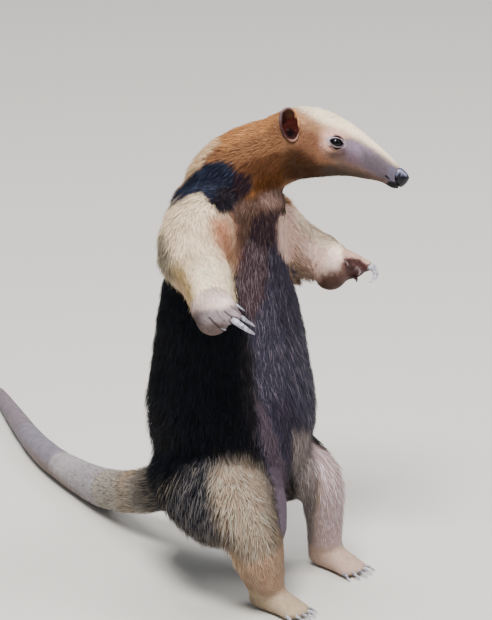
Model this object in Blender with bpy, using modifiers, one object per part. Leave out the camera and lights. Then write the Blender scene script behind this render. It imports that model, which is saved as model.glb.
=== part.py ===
"""Southern tamandua, or collared anteater, rearing up on its hind legs with its tail laid out behind as a prop.

A still, life-size model. The flesh is shaped as one body: lofts and rounded masses set along a skeleton of named
joints, fused and smoothed. Thin cuts then part it where a person would name its parts. The eyes, ears, nose pad
and claws are pieces of their own, each seated in a socket with a small clearance all round.

Metres, +Z up. The animal faces -Y and its left side is +X. It stands on the floor at Z = 0, and the origin is
under the middle of its bounding box. Landmarks are written in millimetres from the floor under its loins.
"""

import math

import bmesh
import bpy
import numpy as np
from mathutils import Matrix, Vector
from mathutils.bvhtree import BVHTree
from mathutils.kdtree import KDTree

MM = 0.001
GAP = 0.00035  # clearance between neighbouring pieces
VOXEL = 0.0027  # grain of the fused flesh
SMOOTHING = 6  # passes that round the flesh where its masses meet
BLENDING = 24  # more passes where the limbs leave the trunk
LINE_STEP = 0.0003  # spacing of the spots that the face is modelled along
FACE_REACH = 0.009  # how far from its lines the face is modelled
FLOOR_DEPTH = 0.06  # how far the flesh may reach below the floor before it is cut flat

# Sizes that drive the head and its fittings, in metres
EYE_RADIUS = 0.0063
EAR_HEIGHT = 0.0350
EAR_WIDTH = 0.0225
EAR_DEPTH = 0.0115
EAR_THICKNESS = 0.0022
EAR_SIDES, EYE_SIDES, NOSE_SIDES = 22, 20, 20
NOSE_RADII = (0.0086, 0.0084, 0.0096)
NOSE_WEDGE = 1.5  # the pad's shape from the side, where 2 is an egg and 1 a diamond
NOSE_LEAN = 0.10  # how far the pad's top leans back, as a share of its height
HEAD_TIP = math.radians(15)
CLAW_STEPS, TOE_CLAW_STEPS, CLAW_SIDES = 7, 5, 8
CLAW_ROOT = 0.22  # how much of a claw's length is hidden in its finger or toe
CLAW_NARROW = 0.78  # a claw's width as a share of its depth

# Joint centres, in millimetres. R is the animal's right and L its left.
LOIN = (6.5, 15.2, 180)
CHEST = (-6, 2, 350)
WITHERS = (-5, -5, 400)
NECK_BASE = (-3, -7, 426)
OCCIPUT = (27, -38, 463)
EYE_LINE = (66, -80, 466)

SHOULDER_R, ELBOW_R, WRIST_R = (-42, -12, 400), (-94, -46, 381), (-109, -92, 346)
SHOULDER_L, ELBOW_L, WRIST_L = (38, 6, 376), (103, 15, 326), (87, -50, 335)
HIP_R, KNEE_R, ANKLE_R, TOES_R = (-38, 18, 122), (-52, -78, 98), (-25, -78, 23), (-15, -129, 8)
HIP_L, KNEE_L, ANKLE_L, TOES_L = (46, 22, 124), (73, -44, 104), (96, -27, 22), (105, -84, 8)
TAIL_ROOT = (5, 112, 70)

# Seats on the head, in millimetres to the side, ahead and up from EYE_LINE, with the way each piece faces
EYE_SEAT, EYE_AXIS = (18.3, -0.9, 6.4), (0.95, 0.31, 0.07)
EAR_SEATS, EAR_AXIS = {1: (30.5, -45.6, 23), -1: (30.5, -46.5, 20)}, (0.86, 0.48, -0.02)
NOSE_SEAT, NOSTRIL = (0, 62.8, -26.4), (8.3, 61.9, -24.2)

# The trunk and the limbs as stations of (point, half width, half depth), in millimetres
TRUNK = (
    ((12, 54, 92), 46, 44),
    ((10, 33, 130), 77, 74),
    (LOIN, 88, 91),
    ((1, 9, 245), 80, 83),
    ((-5, 5, 300), 71, 73),
    (CHEST, 60, 63),
    (WITHERS, 53, 55),
)
RIGHT_ARM = (
    (SHOULDER_R, 40, 40),
    ((-76, -32, 396), 38, 39),
    (ELBOW_R, 34, 34),
    ((-97, -68, 366), 29.5, 29),
    (WRIST_R, 22.5, 21),
)
LEFT_ARM = (
    (SHOULDER_L, 38, 38),
    ((65, 8, 352), 34.5, 34.5),
    (ELBOW_L, 31, 31),
    ((98, -18, 331), 26, 26),
    (WRIST_L, 20, 19),
)
RIGHT_LEG = (
    (HIP_R, 52, 52),
    ((-50, -32, 110), 47, 49),
    (KNEE_R, 34, 34),
    ((-40, -86, 60), 27, 27),
    (ANKLE_R, 19, 19),
)
LEFT_LEG = (
    (HIP_L, 50, 50),
    ((60, -12, 118), 43, 45),
    (KNEE_L, 28, 30),
    ((84, -40, 66), 22, 23),
    (ANKLE_L, 18, 18),
)
# The smooth inner side of the right thigh, seen past its front edge
INNER_THIGH = (
    ((-8, -40, 150), 22, 22),
    ((-9, -69, 113), 15, 15),
    ((-16, -83, 84), 12, 12),
)
# The tail comes down from the rump, lies along the floor and turns towards the left
TAIL = (
    ((9, 60, 86), 38, 38),
    (TAIL_ROOT, 29, 29),
    ((5, 152, 51.5), 25.5, 26),
    ((14, 202, 34.5), 23.5, 24),
    ((26, 254, 22), 21.5, 22),
    ((36, 304, 17.5), 18.8, 18.3),
    ((47, 353, 15.1), 16.4, 15.9),
    ((63, 402, 13.3), 14.6, 14.1),
    ((84, 452, 11.6), 12.9, 12.4),
    ((108, 504, 10), 11.3, 10.8),
    ((131, 552, 8.2), 9.6, 9),
    ((152, 594, 6.1), 7.3, 6.9),
)

# Each finger's claw: its number, then, in millimetres from the wrist, its base seen from the thumb side, ahead and
# above, the finger's radius, and the claw's length and radius, then its bend in radians. The left hand is curled.
RIGHT_FINGERS = (
    (1, (14, 21, -8), 4.8, 12, 2.3, 1.0),
    (2, (7.5, 36, -9), 6.2, 18, 3.2, 1.45),
    (3, (1, 34, -2), 7.8, 33, 4.7, 1.7),
    (4, (-12, 22, -6), 5.6, 9, 2.5, 1.5),
)
LEFT_FINGERS = (
    (1, (12, 17, -7), 4.8, 6.5, 2.0, 1.3),
    (2, (8, 30, -11), 6.2, 10, 2.8, 1.8),
    (3, (1, 40, -1), 7.8, 25, 4.4, 2.1),
    (4, (-12, 22, -6), 5.6, 8, 2.4, 1.4),
)
# The heel pads' middles from the wrists, seen as the fingers are, and their radii
RIGHT_HEEL = ((-10.4, 5.1, -12), (18.5, 18.5, 17))
LEFT_HEEL = ((-4.1, -1.2, -13), (17.5, 18, 16.5))

# Where the limbs leave the trunk, in millimetres, and how far the flesh is blended around each
JOINS = (
    ((-60, -20, 398), 62),
    ((52, 6, 362), 58),
    ((-48, -8, 116), 84),
    ((56, 0, 118), 80),
    ((8, 92, 84), 70),
    ((2, -6, 415), 60),
)

# Zones with their own fineness: the zone's name, its centres, their reach in millimetres and its triangles
ZONES = (
    ("head", ((48, -60, 470), (80, -96, 462), (104, -122, 438)), 38, 1600),
    ("hands", ((-111, -104, 338), (96, -66, 332)), 38, 1040),
    ("feet", ((-21, -100, 10), (100, -52, 10)), 40, 760),
)
REST_TRIANGLES = 2540  # the triangles outside the zones


def at(point):
    """A landmark in millimetres as a vector in metres."""
    return Vector(point) * MM


def collection(name):
    made = bpy.data.collections.new(name)
    bpy.context.scene.collection.children.link(made)
    return made


def material(name, colour, roughness):
    made = bpy.data.materials.new(name)
    made.use_nodes = True
    shader = made.node_tree.nodes["Principled BSDF"]
    shader.inputs["Base Color"].default_value = (*colour, 1)
    shader.inputs["Roughness"].default_value = roughness
    shader.inputs["Metallic"].default_value = 0
    return made


def mesh_object(name, bm, holder):
    """An object in the collection named holder that takes the bmesh and frees it."""
    mesh = bpy.data.meshes.new(name)
    bm.to_mesh(mesh)
    bm.free()
    made = bpy.data.objects.new(name, mesh)
    holder.objects.link(made)
    return made


def smooth_through(rows, count):
    """count samples of a smooth Catmull-Rom curve through the rows of numbers."""
    rows = np.array(rows, float)
    ends = np.vstack([2 * rows[0] - rows[1], rows, 2 * rows[-1] - rows[-2]])
    samples = []
    for place in np.linspace(0, len(rows) - 1, count):
        span = min(int(place), len(rows) - 2)
        t = place - span
        a, b, c, d = ends[span : span + 4]
        bend, twist = 2 * a - 5 * b + 4 * c - d, 3 * b - a - 3 * c + d
        samples.append(0.5 * (2 * b + (c - a) * t + bend * t**2 + twist * t**3))
    return np.array(samples)


def ring_of(bm, centre, across, over, sides):
    """An oval of new vertices round centre, with across and over as its half axes."""
    turns = [2 * math.pi * k / sides for k in range(sides)]
    return [bm.verts.new(centre + across * math.cos(a) + over * math.sin(a)) for a in turns]


def walled(bm, loops):
    """A wall of quads through the loops of vertices, each with as many."""
    for lower, upper in zip(loops, loops[1:]):
        for k in range(len(lower)):
            n = (k + 1) % len(lower)
            bm.faces.new((lower[k], lower[n], upper[n], upper[k]))


def loft(name, stations, holder, wide=(1, 0, 0), rings=22, sides=20):
    """A closed tube through stations of (point, half width, half depth) in millimetres, with rounded ends.

    wide points along the half widths. Each end bulges past its station by the smaller of the two halves.
    """
    rows = smooth_through([(*point, width, depth) for point, width, depth in stations], rings) * MM
    centres = [Vector(row[:3]) for row in rows]
    frames = []
    for i, row in enumerate(rows):
        along = (centres[min(i + 1, rings - 1)] - centres[max(i - 1, 0)]).normalized()
        across = Vector(wide)
        across = (across - across.project(along)).normalized()
        frames.append((centres[i], along, across, along.cross(across), row[3], row[4]))
    for end, sign in ((frames[0], -1), (frames[-1], 1)):
        centre, along, across, over, width, depth = end
        for turn in (0.45, 0.9, 1.25):
            shrink, reach = math.cos(turn), math.sin(turn) * min(width, depth) * sign
            ring = (centre + along * reach, along, across, over, width * shrink, depth * shrink)
            if sign < 0:
                frames.insert(0, ring)
            else:
                frames.append(ring)
    bm = bmesh.new()
    loops = []
    for centre, _, across, over, width, depth in frames:
        loops.append(ring_of(bm, centre, across * width, over * depth, sides))
    walled(bm, loops)
    bm.faces.new(loops[0][::-1])
    bm.faces.new(loops[-1])
    bmesh.ops.recalc_face_normals(bm, faces=bm.faces)
    return mesh_object(name, bm, holder)


def ball(name, centre, radii, holder, turn=None, sides=20):
    """An ellipsoid. centre and radii are in millimetres, and turn is a 3x3 matrix whose columns are its axes."""
    place = Matrix.Translation(at(centre))
    if turn is not None:
        place = place @ turn.to_4x4()
    place = place @ Matrix.Diagonal((*at(radii), 1))
    bm = bmesh.new()
    bmesh.ops.create_uvsphere(bm, u_segments=sides, v_segments=sides // 2, radius=1, matrix=place)
    return mesh_object(name, bm, holder)


def axes(forward, up):
    """A turn whose columns are a sideways axis, the forward axis and an up axis square to it."""
    forward = Vector(forward).normalized()
    up = Vector(up)
    up = (up - up.project(forward)).normalized()
    return Matrix((forward.cross(up), forward, up)).transposed()


def placed(turn, origin, local):
    """The landmark, in millimetres, of a local point seen from origin along the turn's axes."""
    return tuple(Vector(origin) + turn @ Vector(local))


def between(a, b, share):
    return tuple(Vector(a).lerp(Vector(b), share))


def applied(obj):
    """Replaces the object's mesh by its evaluated one and clears its modifiers."""
    graph = bpy.context.evaluated_depsgraph_get()
    mesh = bpy.data.meshes.new_from_object(obj.evaluated_get(graph))
    obj.modifiers.clear()
    obj.data = mesh
    return obj


def removed(objects):
    for obj in list(objects):
        bpy.data.objects.remove(obj)


def boolean(obj, operation, others):
    """One Boolean of the object with every object of the collection others, applied. The others are then removed."""
    step = obj.modifiers.new(operation, "BOOLEAN")
    step.operation = operation
    step.solver = "EXACT"
    step.operand_type = "COLLECTION"
    step.collection = others
    applied(obj)
    removed(others.objects)
    bpy.data.collections.remove(others)
    return obj


def head_turn():
    """The axes of the head, which is tipped a little to its left: its right side, the way it faces and up."""
    ahead = Vector(EYE_LINE) - Vector(OCCIPUT)
    ahead.z = 0
    level = axes(ahead, (0, 0, 1))
    return level @ Matrix.Rotation(-HEAD_TIP, 3, "Y")


def on_head(side, ahead, up):
    """The landmark, in millimetres, of a point seen from the middle of the head between the eyes."""
    return placed(head_turn(), EYE_LINE, (side, ahead, up))


def head_masses(holder):
    """The neck and the long, tapering, down-curved head, with its chin, cheeks and brow."""
    neck = [
        ((-5, 0, 388), 54, 52),
        (NECK_BASE, 47, 52),
        ((7, -18, 447), 37, 42),
        (OCCIPUT, 31, 36),
        (on_head(0, -36.8, 4.3), 29.5, 37.5),
        (on_head(0, -17.7, 3.6), 27, 35.5),
        (EYE_LINE, 21.5, 30.5),
        (on_head(0, 22, -7.6), 16, 23),
        (on_head(0, 48.8, -20.0), 11.5, 14.0),
        (on_head(0, 61.6, -29.3), 8.6, 10.2),
    ]
    turn = head_turn()
    loft("neck and head", neck, holder, wide=turn @ Vector((1, 0, 0)), rings=44, sides=32)
    ball("chin", on_head(0, 54.6, -34.8), (5.4, 6.2, 5.3), holder, turn)
    for name, sign in (("right", 1), ("left", -1)):
        ball(f"{name} cheek", on_head(14 * sign, -22, -9), (15, 24, 16), holder, turn)
        ball(f"{name} brow", on_head(9 * sign, -6, 11), (12, 20, 12), holder, turn)


def torso_masses(holder):
    """The chest, the round belly and the rump, upright on the loins."""
    loft("trunk", TRUNK, holder, rings=40, sides=56)
    ball("rump", (8, 66, 98), (44, 42, 42), holder)
    ball("right shoulder blade", (-34, 16, 396), (30, 32, 38), holder)
    ball("left shoulder blade", (28, 16, 382), (28, 31, 35), holder)


def arm_masses(name, stations, point, holder):
    """One arm down to the wrist: a heavy upper arm, a shaggy point at the elbow and a thick forearm."""
    loft(f"{name} arm", stations, holder, rings=30)
    ball(f"{name} elbow", point, (20, 22, 20), holder)


def hand_masses(name, wrist, forward, dorsal, thumb, heel, fingers, holder, claws):
    """One hand: palm, heavy heel pad and four curled fingers. thumb is 1 or -1, the side on which its thumb lies.

    Adds each claw as (name, root, forward, down, length, radius, bend) to claws.
    """
    turn = axes(forward, dorsal)

    def local(x, y, z):
        return placed(turn, wrist, (x * thumb, y, z))

    side = turn @ Vector((1, 0, 0))
    palm = [(wrist, 20, 18), (local(-1, 13, 2), 18.5, 12), (local(-1, 24, 1), 17, 9.5)]
    loft(f"{name} palm", palm, holder, wide=side, rings=10)
    ball(f"{name} heel pad", local(*heel[0]), heel[1], holder, turn)
    for number, base, thick, length, radius, bend in fingers:
        x, y, z = base
        knuckle, tip = local(x * 0.8, y - 14, z * 0.3 + 2), local(x, y - 1, z)
        joint = local(x * 0.93, y - 6, z * 0.7 + 1)
        finger = [(knuckle, thick, thick), (joint, thick, thick), (tip, thick * 0.84, thick * 0.8)]
        loft(f"{name} finger {number}", finger, holder, wide=side, rings=7)
        ahead, down = turn @ Vector((0, 0.95, -0.3)), turn @ Vector((0, -0.3, -0.95))
        claws.append((f"claw_{number}_{name}", tip, ahead, down, length, radius, bend))


def foot_masses(name, ankle, toes, holder, claws):
    """One hind foot, flat on the floor on its heel and sole, with five toes and their claws."""
    forward = Vector(toes) - Vector(ankle)
    forward.z = 0
    turn = axes(forward, (0, 0, 1))
    side = turn @ Vector((1, 0, 0))
    base = (ankle[0], ankle[1], 0)

    def local(x, y, z):
        return placed(turn, base, (x, y, z))

    sole = [(local(0, -8, 12), 14, 13), (local(0, 14, 12), 16, 13.5), (local(0, 32, 9.5), 18, 10)]
    loft(f"{name} sole", sole, holder, wide=side, rings=12)
    for number in range(1, 6):
        spread = (number - 3) / 2
        root = local(12.5 * spread, 28, 7.5)
        tip = local(16.5 * spread, 47 - 6 * spread**2, 6)
        loft(f"{name} toe {number}", [(root, 5.4, 6), (tip, 4.4, 5)], holder, wide=side, rings=6)
        ahead = (Vector(tip) - Vector(root)).normalized()
        claws.append((f"toe_claw_{number}_{name}", tip, ahead, Vector((0, 0, -1)), 12, 2.1, 0.55))


def fused(name, masses, holder):
    """All the masses of a collection as one smooth skin."""
    bm = bmesh.new()
    for mass in masses.objects:
        bm.from_mesh(mass.data)
    removed(masses.objects)
    bpy.data.collections.remove(masses)
    body = mesh_object(name, bm, holder)
    remesh = body.modifiers.new("fuse", "REMESH")
    remesh.mode = "VOXEL"
    remesh.voxel_size = VOXEL
    soften = body.modifiers.new("soften", "SMOOTH")
    soften.iterations = SMOOTHING
    soften.factor = 0.5
    applied(body)
    shoulders = body.vertex_groups.new(name="where limbs join")
    for vert in body.data.vertices:
        near = min((vert.co - at(joint)).length / reach for joint, reach in JOINS)
        if near < 1:
            shoulders.add([vert.index], min(1.0, 2 * (1 - near)), "REPLACE")
    blend = body.modifiers.new("blend", "SMOOTH")
    blend.iterations = BLENDING
    blend.factor = 0.5
    blend.vertex_group = shoulders.name
    return applied(body)


def face_lines(tree):
    """The lines that the face is modelled along: each as points on the skin, then ridge heights and widths.

    A negative height is a groove. Heights and widths are in metres.
    """
    lines = []
    for sign in (1, -1):
        turn = eye_turn(sign)
        for wide, tall, ridges in (
            (7.8, 6.9, ((0.0017, 0.0015),)),
            (11, 9.8, ((-0.0006, 0.0011),)),
        ):
            ring = [2 * math.pi * k / 24 for k in range(25)]
            spots = [(wide * math.cos(a), 2, tall * math.sin(a)) for a in ring]
            lines.append(([from_seat(EYE_SEAT, sign, turn, spot) for spot in spots], ridges))
    half = [(9.5, 49, -25.3), (8.9, 51.5, -27.8), (7.6, 54.5, -31.7), (5.6, 58.5, -35), (2.8, 62, -37)]
    mouth = half + [(0, 64, -38)] + [(-side, ahead, up) for side, ahead, up in reversed(half)]
    path = smooth_through(mouth, 60)
    lines.append(([at(on_head(*point)) for point in path], ((0.0007, 0.0026), (-0.0021, 0.0010))))
    return [([tree.find_nearest(point)[0] for point in points], ridges) for points, ridges in lines]


def eye_turn(sign):
    """The axes of an eye: along the head, out of the head and up. sign is 1 for the right eye, -1 for the left."""
    out = head_turn() @ Vector((EYE_AXIS[0] * sign, EYE_AXIS[1], EYE_AXIS[2]))
    return axes(out, (0, 0, 1))


def from_seat(seat, sign, turn, local):
    """A point in metres, local millimetres from a seat on one side of the head along the turn's axes."""
    side, ahead, up = seat
    return at(placed(turn, on_head(side * sign, ahead, up), local))


def dense(points):
    """A search tree of closely spaced spots along a line of points, and the middle and reach of the line."""
    spots = []
    for a, b in zip(points, points[1:]):
        count = max(1, math.ceil((b - a).length / LINE_STEP))
        spots += [a.lerp(b, k / count) for k in range(count)]
    spots.append(points[-1])
    tree = KDTree(len(spots))
    for k, spot in enumerate(spots):
        tree.insert(spot, k)
    tree.balance()
    middle = sum(spots, Vector()) / len(spots)
    return tree, middle, max((spot - middle).length for spot in spots)


def modelled(body):
    """The lids, the lips and the line of the mouth, raised and pressed into the finer skin around them."""
    bm = bmesh.new()
    bm.from_mesh(body.data)
    lines = [(*dense(points), ridges) for points, ridges in face_lines(BVHTree.FromBMesh(bm))]

    def away(vert, line, limit):
        tree, middle, reach, _ = line
        if (vert.co - middle).length > reach + limit:
            return limit
        return tree.find(vert.co)[2]

    for limit in (0.0075, 0.0045):
        near = {v for v in bm.verts if min(away(v, line, limit) for line in lines) < limit}
        edges = [e for e in bm.edges if e.verts[0] in near and e.verts[1] in near]
        bmesh.ops.subdivide_edges(bm, edges=edges, cuts=1, use_grid_fill=True)
    bm.normal_update()
    moves = []
    for vert in bm.verts:
        rise = 0.0
        for line in lines:
            gap = away(vert, line, FACE_REACH)
            if gap < FACE_REACH:
                rise += sum(height * math.exp(-((gap / width) ** 2)) for height, width in line[3])
        moves.append(vert.normal * rise)
    for vert, move in zip(bm.verts, moves):
        vert.co += move
    bmesh.ops.triangulate(bm, faces=bm.faces)
    bm.to_mesh(body.data)
    bm.free()
    return body


def inside(body, zones):
    """The numbers of the body's vertices that lie inside any of the zones."""
    spots = [(at(centre), reach * MM) for _, centres, reach, _ in zones for centre in centres]
    return {v.index for v in body.data.vertices if any((v.co - spot).length < reach for spot, reach in spots)}


def thin(body, chosen, triangles):
    """Leaves about that many triangles between the chosen vertices."""
    group = body.vertex_groups.new(name="thinned")
    group.add(sorted(chosen), 1.0, "REPLACE")
    count = sum(1 for face in body.data.polygons if all(v in chosen for v in face.vertices))
    total = len(body.data.polygons)
    step = body.modifiers.new("thin", "DECIMATE")
    step.vertex_group = group.name
    step.ratio = min(1.0, (total - count + triangles) / total)
    applied(body)
    body.vertex_groups.clear()


def thinned(body):
    """Fewer triangles, zone by zone, so that the head, hands and feet keep more of their shape."""
    for zone in ZONES:
        thin(body, inside(body, [zone]), zone[3])
    everywhere = {v.index for v in body.data.vertices}
    thin(body, everywhere - inside(body, ZONES), REST_TRIANGLES)
    return body


def disc(name, centre, normal, radius, holder):
    """A thin round cutter that parts the flesh across a joint."""
    bm = bmesh.new()
    place = Matrix.Translation(at(centre)) @ Vector(normal).to_track_quat("Z", "Y").to_matrix().to_4x4()
    bmesh.ops.create_cone(
        bm, cap_ends=True, segments=32, radius1=radius * MM, radius2=radius * MM, depth=GAP, matrix=place
    )
    return cutter(name, bm, holder)


def cutter(name, bm, holder):
    made = mesh_object(name, bm, holder)
    made.hide_render = True
    made.display_type = "WIRE"
    return made


def floor_block(holder):
    """A block under the floor, which leaves flats on the soles and along the tail."""
    bm = bmesh.new()
    size = Matrix.Diagonal((3, 3, FLOOR_DEPTH, 1))
    bmesh.ops.create_cube(bm, size=1, matrix=Matrix.Translation((0, 0, -FLOOR_DEPTH / 2)) @ size)
    return cutter("floor block", bm, holder)


def cuts(holder):
    """Every thin cut through the flesh. Each is (name, centre, the way it faces, radius)."""
    for name, centre, normal, radius in (
        ("neck", (3, -10, 430), (0.42, -0.36, 0.83), 72),
        ("head", (24, -34, 461), (0.66, -0.66, 0.36), 44),
        ("right shoulder", (-64, -24, 398), (-0.9, -0.3, 0.3), 52),
        ("right elbow", (-98, -60, 372), (-0.25, -0.74, -0.62), 38),
        ("right wrist", (-108, -87, 349), (-0.3, -0.8, -0.5), 32),
        ("left shoulder", (71, 8, 347), (0.9, -0.25, 0.12), 64),
        ("left elbow", (100, -6, 329), (0.5, -0.85, -0.2), 46),
        ("left wrist", (89, -43, 334), (-0.2, -0.97, 0.08), 31),
        ("right hip", (-36, -22, 104), (-0.62, -0.62, -0.48), 77),
        ("left hip", (60, -14, 106), (0.62, -0.62, -0.48), 62),
        ("right knee", (-45, -85, 70), (0.15, -0.3, -0.94), 36),
        ("left knee", (81, -42, 76), (0.2, -0.2, -0.95), 33),
        ("right ankle", (-28, -80, 28), (0, 0, -1), 32),
        ("left ankle", (94, -29, 28), (0, 0, -1), 28),
        ("tail root", (5, 118, 66), (0, 0.94, -0.34), 36),
        ("first quarter of the tail", (20, 230, 28), (0.2, 0.96, -0.2), 29),
        ("second quarter of the tail", (44, 342, 16), (0.25, 0.97, 0), 22),
        ("last quarter of the tail", (84, 452, 12), (0.4, 0.92, 0), 18),
    ):
        disc(f"{name} cut", centre, normal, radius, holder)


# Each node of flesh with a point near its middle, in millimetres, and its material
FLESH = {
    "head": ((64, -78, 468), "golden_coat"),
    "neck": ((8, -20, 440), "golden_coat"),
    "torso": ((3, 10, 240), "black_coat"),
    "upper_arm_right": ((-88, -40, 386), "cream_coat"),
    "forearm_right": ((-100, -74, 361), "cream_coat"),
    "hand_right": ((-111, -106, 338), "bare_skin"),
    "upper_arm_left": ((86, 14, 337), "cream_coat"),
    "forearm_left": ((96, -24, 331), "cream_coat"),
    "hand_left": ((94, -64, 332), "bare_skin"),
    "thigh_right": ((-52, -40, 102), "tawny_coat"),
    "shank_right": ((-34, -84, 46), "tawny_coat"),
    "foot_right": ((-22, -96, 12), "tawny_coat"),
    "thigh_left": ((66, -16, 112), "tawny_coat"),
    "shank_left": ((90, -36, 50), "tawny_coat"),
    "foot_left": ((99, -46, 12), "tawny_coat"),
    "tail_1": ((10, 176, 44), "cream_coat"),
    "tail_2": ((31, 288, 20), "cream_coat"),
    "tail_3": ((62, 400, 13), "cream_coat"),
    "tail_4": ((116, 522, 9), "cream_coat"),
}


def loose_parts(obj, holder):
    """The separate closed surfaces of an object, each as its own object."""
    bm = bmesh.new()
    bm.from_mesh(obj.data)
    bm.verts.ensure_lookup_table()
    group = {}
    for start in bm.verts:
        if start.index in group:
            continue
        group[start.index] = start.index
        reached = [start]
        while reached:
            for edge in reached.pop().link_edges:
                for vert in edge.verts:
                    if vert.index not in group:
                        group[vert.index] = start.index
                        reached.append(vert)
    parts = []
    for label in sorted(set(group.values())):
        part = bm.copy()
        part.verts.ensure_lookup_table()
        others = [v for v in part.verts if group[v.index] != label]
        bmesh.ops.delete(part, geom=others, context="VERTS")
        parts.append(mesh_object(f"part {label}", part, holder))
    bm.free()
    removed([obj])
    return parts


def middle_of(obj):
    total = sum((v.co for v in obj.data.vertices), Vector())
    return total / len(obj.data.vertices)


def parted(body, holder):
    """The body cut through at every joint, as one object for each node of FLESH."""
    cutters = collection("cuts")
    cuts(cutters)
    floor_block(cutters)
    boolean(body, "DIFFERENCE", cutters)
    nodes = {}
    for part in loose_parts(body, holder):
        middle = middle_of(part)
        name = min(FLESH, key=lambda n: (at(FLESH[n][0]) - middle).length)
        if name in nodes:
            raise ValueError(f"a second piece of {name} at {middle}")
        part.name = name
        nodes[name] = part
    missing = set(FLESH) - set(nodes)
    if missing:
        raise ValueError(f"not parted: {sorted(missing)}")
    return nodes


def horn(name, claw, holder, grown=0.0):
    """A claw: a horn that starts inside its finger or toe, curls over the pad and tapers to a blunt point."""
    _, root, ahead, down, length, radius, bend = claw
    root = Vector(root)
    ahead = Vector(ahead).normalized()
    down = (Vector(down) - Vector(down).project(ahead)).normalized()
    across = ahead.cross(down)
    curl = length / bend
    steps = TOE_CLAW_STEPS if name.startswith("toe") else CLAW_STEPS
    rings = []
    for k in range(steps + 1):
        share = (1 + CLAW_ROOT) * k / steps - CLAW_ROOT
        if share > 0:
            turn = bend * share
            centre = root + ahead * curl * math.sin(turn) + down * curl * (1 - math.cos(turn))
            over = ahead * math.sin(turn) - down * math.cos(turn)
            depth = (0.14 + 0.86 * (1 - share) ** 0.7) * radius * MM
        else:
            centre, over, depth = root + ahead * length * share, -down, radius * MM
        rings.append((centre * MM, across * (CLAW_NARROW * depth + grown), over * (depth + grown)))
    bm = bmesh.new()
    loops = [ring_of(bm, *ring, CLAW_SIDES) for ring in rings]
    walled(bm, loops)
    tip_way = (rings[-1][0] - rings[-2][0]).normalized()
    for loop, (centre, _, over), way in ((loops[0], rings[0], -ahead), (loops[-1], rings[-1], tip_way)):
        pole = bm.verts.new(centre + way * (0.6 * over.length + grown))
        for k in range(CLAW_SIDES):
            bm.faces.new((loop[k], loop[(k + 1) % CLAW_SIDES], pole))
    bmesh.ops.recalc_face_normals(bm, faces=bm.faces)
    return mesh_object(name, bm, holder)


def ear_turn(sign):
    """The axes of an ear: along its width, out through its mouth and up to its tip."""
    turn = head_turn()
    out = turn @ Vector((EAR_AXIS[0] * sign, EAR_AXIS[1], EAR_AXIS[2]))
    return axes(out, turn @ Vector((0.12 * sign, -0.18, 1)))


def ear(name, sign, holder, plug=False):
    """An ear: a deep oval cup with a rounded rim, narrower below. As a plug it is the solid that its seat is cut by."""
    turn = ear_turn(sign)
    side, ahead, up = EAR_SEATS[sign]
    centre = at(on_head(side * sign, ahead, up))
    grown = GAP if plug else 0.0
    outer = [(math.sin(a), -math.cos(a)) for a in (0.25, 0.55, 0.85, 1.15, 1.4)]
    wide, tall, deep = EAR_WIDTH / 2 + grown, EAR_HEIGHT / 2 + grown, EAR_DEPTH + grown
    rings = [(share * wide, share * tall, depth * deep) for share, depth in outer]
    if plug:
        rings += [(wide, tall, 0.0), (wide, tall, EAR_DEPTH)]
    else:
        rim = EAR_THICKNESS / 2
        rings += [(wide - k * rim, tall - k * rim, rim if k == 1 else 0.0) for k in range(3)]
        wide, tall, deep = wide - 2 * rim, tall - 2 * rim, deep - 2 * rim
        rings += [(share * wide, share * tall, depth * deep) for share, depth in reversed(outer)]
    bm = bmesh.new()
    loops = []
    for wide, tall, deep in rings:
        loop = []
        for k in range(EAR_SIDES):
            a = 2 * math.pi * k / EAR_SIDES
            up = math.sin(a)
            narrow = 1 + 0.16 * up - 0.08 * (1 - up**2)
            curl = 0.18 * tall * max(0.0, -up) ** 2 + 0.12 * wide * abs(math.cos(a))
            spot = Vector((wide * narrow * math.cos(a), deep + curl, tall * up))
            loop.append(bm.verts.new(centre + turn @ spot))
        loops.append(loop)
    walled(bm, loops)
    bm.faces.new(loops[0][::-1])
    bm.faces.new(loops[-1])
    bmesh.ops.recalc_face_normals(bm, faces=bm.faces)
    return mesh_object(name, bm, holder)


def nose_pad(name, holder, grown=0.0):
    """The pad, blunt above and below its tip. grown makes it larger all round, for its seat."""
    bm = bmesh.new()
    bmesh.ops.create_uvsphere(bm, u_segments=NOSE_SIDES, v_segments=NOSE_SIDES // 2, radius=1)
    for vert in bm.verts:
        side, ahead, up = vert.co
        corner = (abs(ahead) ** NOSE_WEDGE + abs(up) ** NOSE_WEDGE) ** (1 / NOSE_WEDGE)
        flat = math.hypot(ahead, up) / max(corner, 1e-9)
        vert.co = (side, ahead * flat - NOSE_LEAN * max(up, 0), up * flat)
    sizes = [radius + grown for radius in NOSE_RADII]
    place = Matrix.Translation(at(on_head(*NOSE_SEAT))) @ head_turn().to_4x4() @ Matrix.Diagonal((*sizes, 1))
    bmesh.ops.transform(bm, matrix=place, verts=bm.verts)
    return mesh_object(name, bm, holder)


def eyeball(name, sign, holder, grown=0.0):
    side, ahead, up = EYE_SEAT
    radii = ((EYE_RADIUS + grown) / MM,) * 3
    return ball(name, on_head(side * sign, ahead, up), radii, holder, eye_turn(sign), EYE_SIDES)


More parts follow.
